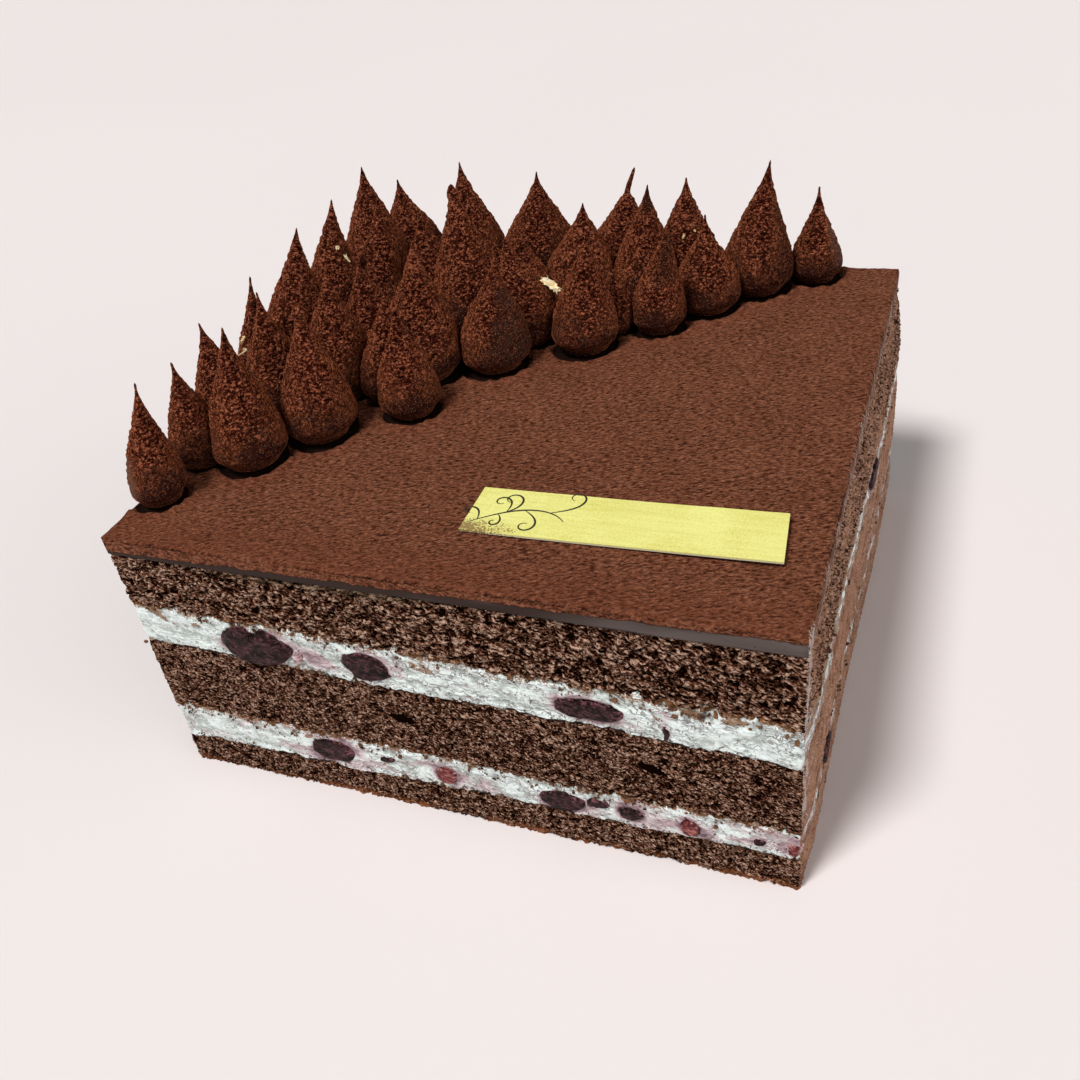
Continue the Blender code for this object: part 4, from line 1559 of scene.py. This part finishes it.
@dataclass
class Plaque:
    """A card with gold foil on it, curling up at its right end, and a scroll ornament at its left."""

    width: float = 15.0 * MM
    thick: float = 0.5 * MM
    turn: float = math.radians(1.0)     # seen from above
    curl: float = 0.7 * MM      # how far its right end is lifted
    ripple: float = 0.07 * MM   # how uneven it lies
    taper: float = 1.2 * MM     # how far its upper right corner is pulled in
    step: float = 0.5 * MM      # length of its faces
    stroke: float = 0.3 * MM    # width of the ornament's lines
    print_gap: float = 0.06 * MM    # between the ornament and the foil
    seed: int = 61
    low: Vector = field(init=False)     # corners of its box
    high: Vector = field(init=False)
    length: float = field(init=False)
    middle: Vector = field(init=False)
    tree: BVHTree = field(init=False)   # its solid, to find its top

    def __post_init__(self) -> None:
        """Read the card's corners from its solid."""
        across = read_points(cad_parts["plaque"].data)[:, 0]
        self.low, self.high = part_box("plaque")
        self.length = (across.max() - across.min()) / math.cos(self.turn) - 0.2 * MM
        self.middle = (self.low + self.high) / 2
        self.tree = node_tree("plaque")

    def surface(self, along: float, across: float) -> Vector:
        """Find the point on top of the card at a place from its middle.

        Args:
            along: the place along it.
            across: and across it.

        Returns:
            The point.
        """
        spot = Matrix.Rotation(self.turn, 3, "Z") @ Vector((along, across, 0)) + self.middle
        hit = self.tree.ray_cast(Vector((spot.x, spot.y, self.high.z + MM)), Vector((0, 0, -1)))[0]
        return hit if hit is not None else Vector((spot.x, spot.y, self.middle.z))

    def build_card(self, material: bpy.types.Material) -> bpy.types.Object:
        """Make the card.

        Args:
            material: its finish.

        Returns:
            The piece.
        """
        bm = bmesh.new()
        bmesh.ops.create_cube(bm, size=1.0)
        for axis, extent in ((0, self.length), (1, self.width)):
            edges = [e for e in bm.edges if abs(e.verts[0].co[axis] - e.verts[1].co[axis]) > 0.5]
            bmesh.ops.subdivide_edges(bm, edges=edges, cuts=round(extent / self.step), use_grid_fill=True)
        mesh = to_mesh("plaque_card", bm)
        unit = read_points(mesh)
        along, across = unit[:, 0] * self.length, unit[:, 1] * self.width
        flat = np.stack([along, across, np.zeros(len(along))], axis=1)
        ripple = self.ripple * Grain(self.seed).rough(flat, 9 * MM, 2)
        curl = self.curl * (unit[:, 0] + 0.5) ** 2
        height = self.low.z + (unit[:, 2] + 0.5) * self.thick + curl + ripple
        along -= self.taper * (unit[:, 1] + 0.5) * ease(unit[:, 0], -0.2, 0.5)
        c, s = math.cos(self.turn), math.sin(self.turn)
        x = c * along - s * across + self.middle.x
        y = s * along + c * across + self.middle.y
        write_points(mesh, np.stack([x, y, height], axis=1))
        from_corner = np.hypot((along / self.length + 0.5) * 2.2, (across / self.width + 0.5) * 1.1)
        speckle = 0.25 * Grain(self.seed + 1).rough(flat, 3 * MM, 3)
        keep_number(mesh, "dust", np.clip(0.9 * (1 - ease(from_corner, 0.1, 0.75)) + speckle, 0, 1))
        keep_number(mesh, "paper", np.where(unit[:, 2] > 0, 0.0, 1.0))
        return add_piece("plaque_card", mesh, material, "gold_foil", "plaque", sharp=math.radians(40))

    @staticmethod
    def scroll(start: Vector, heading: float, length: float, curl: float, late: float) -> list[Vector]:
        """Work out the line of one scroll: it sets off along a heading and curls ever tighter.

        Args:
            start: where it starts, from the card's middle.
            heading: its first direction.
            length: its length.
            curl: how much it turns in all, to the left if above 0.
            late: how late the turning comes.

        Returns:
            The places along it.
        """
        steps = 40
        spot, angle = start.copy(), heading
        line = [spot.copy()]
        for step in range(steps):
            share = (step + 0.5) / steps
            angle += curl * (late + 1) * share ** late / steps
            spot += Vector((math.cos(angle), math.sin(angle))) * length / steps
            line.append(spot.copy())
        return line

    def build_ornament(self, material: bpy.types.Material) -> bpy.types.Object:
        """Make the ornament: a few scrolls that branch off a rising stem, printed on the foil.

        Args:
            material: its finish.

        Returns:
            The piece.
        """
        left = Vector((-self.length / 2, -self.width / 2))
        stem = self.scroll(left + Vector((0.8, 2.6)) * MM, 0.62, 22 * MM, -1.5, 1.3)
        branches = (    # where it leaves the stem, heading, length in mm, curl and how late it comes
            (9, 0.5, 16, 6.0, 1.5),
            (15, 1.4, 10.5, 5.6, 1.2),
            (22, -0.6, 13, -6.0, 1.4),
            (32, 0.4, 15, 5.6, 1.8),
            (4, 1.7, 9, 5.2, 1.3),
            (12, -0.9, 7, -5.4, 1.2),
        )
        lines = [self.scroll(stem[leaves], heading, length * MM, curl, late)
                 for leaves, heading, length, curl, late in branches]
        bm = bmesh.new()
        for line in [stem, *lines]:
            rows = []
            last = len(line) - 1
            for step, spot in enumerate(line):
                ahead = line[min(step + 1, last)] - line[max(step - 1, 0)]
                half_width = self.stroke / 2 * (0.45 + math.sin(math.pi * step / last))
                side = Vector((-ahead.y, ahead.x)).normalized() * half_width
                ends = [self.surface(*(spot + side * k)) + Vector((0, 0, self.print_gap)) for k in (-1, 1)]
                rows.append([bm.verts.new(end) for end in ends])
            for (a, b), (c, d) in zip(rows, rows[1:]):
                bm.faces.new((b, a, c, d))
        bmesh.ops.recalc_face_normals(bm, faces=bm.faces)
        bmesh.ops.solidify(bm, geom=bm.faces[:], thickness=0.05 * MM)
        bmesh.ops.recalc_face_normals(bm, faces=bm.faces)
        return add_piece("plaque_ornament", to_mesh("plaque_ornament", bm), material, "ornament_ink")


# ---------------------------------------------------------------- crumbs and gold leaf

@dataclass
class Crumbs:
    """Loose crumbs that stick to the cream, most of them just under a sponge, and along the edges."""

    layers: tuple[str, ...]
    seed: int = 700
    for_each_side: int = 110    # clusters of crumbs on one side of a cream layer
    at_top: float = 0.75        # share of them that hangs under the sponge above
    wiped: float = 0.7          # share that the knife took off the right side
    scatter: float = 0.8 * MM   # how wide a cluster is
    least: float = 0.3          # smallest size in mm
    usual: float = 0.22         # how much larger most of them are
    most: float = 1.15          # and largest size

    @staticmethod
    def add_crumb(bm: bmesh.types.BMesh, dice: random.Random, place: Vector, size: float) -> None:
        """Add one angular crumb.

        Args:
            bm: what it is added to.
            dice: gives its form.
            place: its middle.
            size: its width.
        """
        verts = bmesh.ops.create_icosphere(bm, subdivisions=1, radius=size / 2)["verts"]
        stretch = Vector((dice.uniform(0.7, 1.4), dice.uniform(0.7, 1.4), dice.uniform(0.6, 1.1)))
        spin = Matrix.Rotation(dice.uniform(0, math.tau), 3, dice.choice("XYZ"))
        for vert in verts:
            vert.co = place + spin @ (vert.co * stretch * dice.uniform(0.75, 1.3))

    def add_cluster(self, bm: bmesh.types.BMesh, dice: random.Random, spot: float, low: float,
                    high: float) -> None:
        """Add a few crumbs close together.

        Args:
            bm: what they are added to.
            dice: gives their places and forms.
            spot: how far round the cake they are.
            low: height of the cream's lower face there.
            high: and of its upper face.
        """
        down = min(dice.expovariate(1 / (1.0 * MM)), high - low)
        if dice.random() < self.at_top:
            height = high + 0.5 * MM - down
        else:
            height = low + dice.uniform(-0.3, 0.8) * MM
        side, share = int(spot), spot % 1
        along = (2 * share - 1) * (HALF - CORNER)
        flat = Vector((along, -HALF + dice.uniform(0.2, 0.5) * MM, height))
        middle = Matrix.Rotation(side * math.pi / 2, 3, "Z") @ flat
        for _ in range(dice.choice((1, 2, 4, 6))):
            aside = Vector(dice.gauss(0, self.scatter) for _ in range(3))
            aside[0 if side % 2 else 1] *= 0.1
            place = swell_right(np.array([middle + aside]))[0]
            size = MM * min(self.least + dice.expovariate(1 / self.usual), self.most)
            self.add_crumb(bm, dice, Vector(place), size)

    def build(self, material: bpy.types.Material) -> bpy.types.Object:
        """Make the crumbs as one piece.

        Args:
            material: their finish.

        Returns:
            The piece.
        """
        dice = random.Random(self.seed)
        bm = bmesh.new()
        right = SIDES.index("right")
        for layer in self.layers:
            around = np.array([dice.random() * 4 for _ in range(4 * self.for_each_side)])
            for spot, low, high in zip(around, *Band(layer, 0).faces(around)):
                if int(spot) == right and dice.random() < self.wiped:
                    continue
                self.add_cluster(bm, dice, spot, low, high)
        return add_piece("loose_crumbs", to_mesh("loose_crumbs", bm), material, "sponge", sharp=0.6)


@dataclass(frozen=True)
class Flake:
    """A flake of gold leaf: where it shows in the photograph, its size in mm and its turn in degrees."""

    pixel: tuple[float, float]
    length: float
    width: float
    turn: float


@dataclass
class GoldLeaf:
    """Crumpled flakes of gold leaf that lie on the peaks, each found along a sight line."""

    flakes: tuple[Flake, ...]
    targets: tuple[bpy.types.Object, ...]
    seed: int = 800
    thick: float = 0.05 * MM
    crumple: float = 0.6 * MM   # how uneven a flake is

    def target_tree(self) -> BVHTree:
        """Return the faces of all targets for casting rays at.

        Returns:
            The faces.
        """
        corners, faces = [], []
        for piece in self.targets:
            start = len(corners)
            corners += [vert.co.copy() for vert in piece.data.vertices]
            faces += [[start + index for index in face.vertices] for face in piece.data.polygons]
        return BVHTree.FromPolygons(corners, faces)

    def build(self, studio: "Studio", material: bpy.types.Material) -> bpy.types.Object:
        """Make the flakes as one piece.

        Args:
            studio: gives the sight lines.
            material: their finish.

        Returns:
            The piece.
        """
        tree = self.target_tree()
        dice = random.Random(self.seed)
        bm = bmesh.new()
        level, upright = studio.axes().col[0], studio.axes().col[1]
        for flake in self.flakes:
            origin, way = studio.ray(flake.pixel)
            hit, normal = tree.ray_cast(origin, way)[:2]
            if hit is None:
                LOG.warning("no peak on the sight line through %s", flake.pixel)
                continue
            normal = (normal - 0.8 * way + Vector((0, 0, 0.4))).normalized()
            lift = 0.4 * MM + 0.15 * flake.length * MM
            turn = math.radians(flake.turn)
            along = level * math.cos(turn) + upright * math.sin(turn)
            along = (along - normal * along.dot(normal)).normalized()
            size = Vector((flake.length, flake.width)) * MM
            made = bmesh.ops.create_grid(bm, x_segments=10, y_segments=6, size=0.5)["verts"]
            for vert in made:
                rag = 1 - dice.uniform(0.25, 0.75) * (abs(vert.co.x) + abs(vert.co.y))
                spot = along * vert.co.x * size.x * rag + normal.cross(along) * vert.co.y * size.y * rag
                vert.co = hit + spot + normal * (lift + self.crumple * dice.random())
        bmesh.ops.solidify(bm, geom=bm.faces[:], thickness=self.thick)
        mesh = to_mesh("gold_leaf_flakes", bm)
        return add_piece("gold_leaf_flakes", mesh, material, "gold_leaf", sharp=0.4)


# ---------------------------------------------------------------- camera, light and floor

@dataclass(frozen=True)
class Sun:
    """A light that shines evenly from the direction of a place, as soft as its spread."""

    name: str
    place: tuple[float, float, float]
    strength: float
    spread: float

    def build(self) -> None:
        """Add the light."""
        data = bpy.data.lights.new(self.name, "SUN")
        data.energy = self.strength
        data.angle = self.spread
        light = bpy.data.objects.new(self.name, data)
        light.location = self.place
        light.rotation_euler = Vector(self.place).to_track_quat("Z", "Y").to_euler()
        bpy.context.scene.collection.objects.link(light)


@dataclass(frozen=True)
class Studio:
    """The camera that the photograph was taken with, and plain soft light over a pale floor."""

    azimuth: float = math.radians(25.2228)
    elevation: float = math.radians(36.5513)
    roll: float = math.radians(-8.6283)
    focal_pixels: float = 1085.93
    frame_pixels: float = 1080.0
    shift: tuple[float, float] = (-9.225 * MM, 19.095 * MM)     # of the camera off the line to the base
    distance: float = 303.405 * MM
    sensor: float = 36.0
    nearest: float = 10 * MM    # that the camera shows
    suns: tuple[Sun, ...] = (Sun("key", (-0.25, -0.5, 1.0), 2.68, math.radians(14)),
                             Sun("fill", (1.0, -0.35, 0.6), 1.0, math.radians(60)))
    sky: Colour = (1.0, 0.985, 0.98)
    sky_strength: float = 0.15
    floor_half: float = 6.0     # half the floor's side

    def axes(self) -> Matrix:
        """Return the camera's axes as the columns of a matrix: right, up and back.

        Returns:
            The matrix.
        """
        back = Vector((math.sin(self.azimuth) * math.cos(self.elevation),
                       -math.cos(self.azimuth) * math.cos(self.elevation), math.sin(self.elevation)))
        right = Vector((0, 0, 1)).cross(back).normalized()
        level = Matrix((right, back.cross(right), back)).transposed()
        return level @ Matrix.Rotation(self.roll, 3, "Z")

    def place(self) -> Vector:
        """Return where the camera is."""
        return self.axes() @ Vector((*self.shift, self.distance))

    def ray(self, pixel: tuple[float, float]) -> tuple[Vector, Vector]:
        """Find the sight line through a pixel of the photograph.

        Args:
            pixel: the place across and down.

        Returns:
            Its start and its direction.
        """
        middle = self.frame_pixels / 2
        view = Vector((pixel[0] - middle, middle - pixel[1], -self.focal_pixels))
        return self.place(), (self.axes() @ view).normalized()

    def build_camera(self) -> None:
        """Add the camera."""
        data = bpy.data.cameras.new("camera")
        data.sensor_width = self.sensor
        data.lens = self.sensor * self.focal_pixels / self.frame_pixels
        data.clip_start = self.nearest
        camera = bpy.data.objects.new("camera", data)
        camera.matrix_world = Matrix.LocRotScale(self.place(), self.axes().to_quaternion(), None)
        bpy.context.scene.collection.objects.link(camera)
        bpy.context.scene.camera = camera

    def build_light(self) -> None:
        """Add the lights and the even light from all round."""
        for sun in self.suns:
            sun.build()
        world = bpy.data.worlds.new("studio")
        world.use_nodes = True
        inputs = world.node_tree.nodes["Background"].inputs
        inputs["Color"].default_value = (*self.sky, 1.0)
        inputs["Strength"].default_value = self.sky_strength
        bpy.context.scene.world = world
        bpy.context.scene.view_settings.view_transform = "Standard"

    def build_floor(self) -> None:
        """Add the floor."""
        bm = bmesh.new()
        bmesh.ops.create_grid(bm, x_segments=1, y_segments=1, size=self.floor_half)
        mesh = to_mesh("floor", bm)
        mesh.materials.append(FLOOR.build())
        floor = bpy.data.objects.new("floor", mesh)
        bpy.context.scene.collection.objects.link(floor)


# ---------------------------------------------------------------- where the photograph shows what

HOLES = ((0.427, 29.8 * MM), (0.799, 29.2 * MM), (1.4, 31 * MM), (2.3, 27 * MM), (3.6, 30 * MM))
LOWER_STAINS = (Spot(-3.8, 13.3, 2.2, 1.4), Spot(66, 13.4, 2.2, 1.5), Spot(39, 14.5, 3.5, 1.8, -20),
                Spot(73, 13, 3, 3))
LOWER_SMEARS = (Spot(-17.5, 14.5, 3.6, 0.7, 47), Spot(38.5, 14.4, 3.2, 0.6, -25), Spot(-38, 17.1, 1.3, 0.6))
UPPER_STAINS = (Spot(-27.9, 43.6, 4.6, 3.0), Spot(48.2, 44.6, 2.0, 2.2), Spot(32.5, 42, 5.5, 2.6, -8))
UPPER_SMEARS = (Spot(-69.3, 50.3, 5.6, 1.1, -37), Spot(-58.3, 47.7, 1.9, 1.0),
                Spot(-3.1, 46.6, 3.2, 1.4, -10), Spot(53.6, 46.5, 2.8, 1.1, -15),
                Spot(46.7, 44.2, 1.9, 0.8, -40), Spot(62, 46.6, 3.0, 1.0))
TIPS = {"peak_03": Tip.KNOB, "peak_30": Tip.FINGER, "peak_27": Tip.BENT}
SMOOTH_PATCHES = {
    "peak_01": SmoothPatch(-2.7, 0.0, 0.5, 0.7, 0.5),
    "peak_06": SmoothPatch(-0.3, 0.0, 0.8, 0.3, 0.8),
    "peak_08": SmoothPatch(-1.0, 0.4, 1.0, 0.0, 0.7),
    "peak_10": SmoothPatch(0.1, 0.0, 0.75, 0.1, 0.8),
    "peak_11": SmoothPatch(0.3, 0.05, 0.7, 0.5, 0.8),
    "peak_19": SmoothPatch(-1.1, 0.72, 1.1, 0.0, 1.0),
}
FLESH = CherryFinish()
RED = CherryFinish("red_cherry_flesh", linear(124, 60, 58), linear(194, 122, 114),
                   linear(226, 192, 188), linear(84, 26, 30))
PALE = CherryFinish("pale_cherry_skin", linear(200, 172, 174), linear(232, 218, 214),
                    linear(238, 222, 220), linear(146, 92, 102))
RED_CHERRIES = ("cherry_front_5", "cherry_front_8")
BITS = (    # bits of cherry on the front: along, up, width and height in mm, and finish
    (-17.7, 15.1, 4.0, 1.2, FLESH),
    (32.1, 14.8, 5.5, 2.4, FLESH),
    (66.3, 13.2, 2.6, 1.4, FLESH),
    (73.4, 12.9, 2.6, 2.8, RED),
    (48.6, 40.2, 1.6, 4.4, FLESH),
    (-33.2, 43.2, 2.4, 4.4, PALE),
)
FLAKES = (Flake((549, 289), 8.4, 3.6, -40), Flake((337, 248), 1.6, 1.2, 20), Flake((346, 260), 3.0, 0.8, -45),
          Flake((245, 340), 2.4, 1.2, 60), Flake((247, 350), 1.6, 1.0, -30), Flake((684, 237), 1.6, 0.9, 70),
          Flake((694, 231), 1.0, 0.9, 0))


def nodes_named(start: str) -> list[str]:
    """Return the names of the solids that start so, in order."""
    return sorted(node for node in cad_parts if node.startswith(start))


def build_layers(fruit: dict[str, tuple[str, ...]]) -> None:
    """Build the sponges, the cream and the crumbs on it.

    Args:
        fruit: the cherries in each layer of cream.
    """
    fine = SpongeFinish("fine_crumb", 0.43 * MM, 0.46).build()
    coarse = SpongeFinish("coarse_crumb", 0.68 * MM).build()
    cream = CreamFinish().build()
    Sponge("sponge_bottom", 11, 0.36 * MM, 0.28 * MM, top_tear=501, lump=1.3 * MM, depth=0.9 * MM).build(fine)
    Sponge("sponge_middle", 12, 0.47 * MM, 0.35 * MM, low_tear=502, top_tear=503, lump=1.3 * MM,
           depth=0.9 * MM, holes=HOLES).build(fine)
    Sponge("sponge_top", 13, 0.47 * MM, 0.29 * MM, low_tear=504, lump=1.8 * MM, depth=1.4 * MM,
           dry=0.9).build(coarse)
    Cream("cream_lower", 21, low_tear=501, top_tear=502, cherries=fruit["cream_lower"], veil=0.45,
          fine_crumb=0.45, stains=LOWER_STAINS, smears=LOWER_SMEARS).build(cream)
    Cream("cream_upper", 31, low_tear=503, top_tear=504, cherries=fruit["cream_upper"], veil=0.05,
          stains=UPPER_STAINS, smears=UPPER_SMEARS).build(cream)
    Crumbs(("cream_lower", "cream_upper")).build(CRUMB.build())


def build_top() -> tuple[bpy.types.Object, ...]:
    """Build the peaks and the glaze that they stand on.

    Returns:
        The peaks' pieces.
    """
    chocolate = PeakFinish().build()
    peaks = [Peak(node, 100 + 7 * number, TIPS.get(node, Tip.NEEDLE), SMOOTH_PATCHES.get(node))
             for number, node in enumerate(nodes_named("peak_"))]
    pieces = tuple(peak.build(chocolate) for peak in peaks)
    feet = [(peak.middles[0], peak.table.max(axis=0).mean()) for peak in peaks]
    GlazeTop(feet=feet).build(CocoaFinish().build())
    return pieces


def build_cherries(cherries: tuple[str, ...]) -> None:
    """Build the cut cherries and the small bits of cherry.

    Args:
        cherries: the solids of the cut ones.
    """
    finishes = {finish.name: finish.build() for finish in (FLESH, RED, PALE)}
    for number, node in enumerate(cherries):
        finish = RED if node in RED_CHERRIES else FLESH
        Cherry.from_node(node, 300 + 5 * number).build(finishes[finish.name])
    for number, (along, up, wide, tall, finish) in enumerate(BITS, 1):
        middle = Vector((along * MM, -HALF, up * MM))
        bit = Cherry(f"cherry_bit_{number}", middle, wide * MM, tall * MM, 0.0, 400 + 5 * number)
        bit.build(finishes[finish.name])


def main() -> None:
    """Build the cake's pieces in order, then the studio."""
    logging.basicConfig(level=logging.INFO, format="%(message)s")
    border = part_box("cream_upper")[0].z
    cherries = nodes_named("cherry_")
    lower = tuple(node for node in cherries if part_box(node)[1].z < border)
    upper = tuple(node for node in cherries if node not in lower)
    build_layers({"cream_lower": lower, "cream_upper": upper})
    drops = build_top()
    build_cherries(lower + upper)
    plaque = Plaque()
    plaque.build_card(FoilFinish().build())
    plaque.build_ornament(INK.build())
    studio = Studio()
    GoldLeaf(FLAKES, drops).build(studio, LEAF.build())
    studio.build_camera()
    studio.build_light()
    studio.build_floor()


if __name__ == "__main__":
    main()
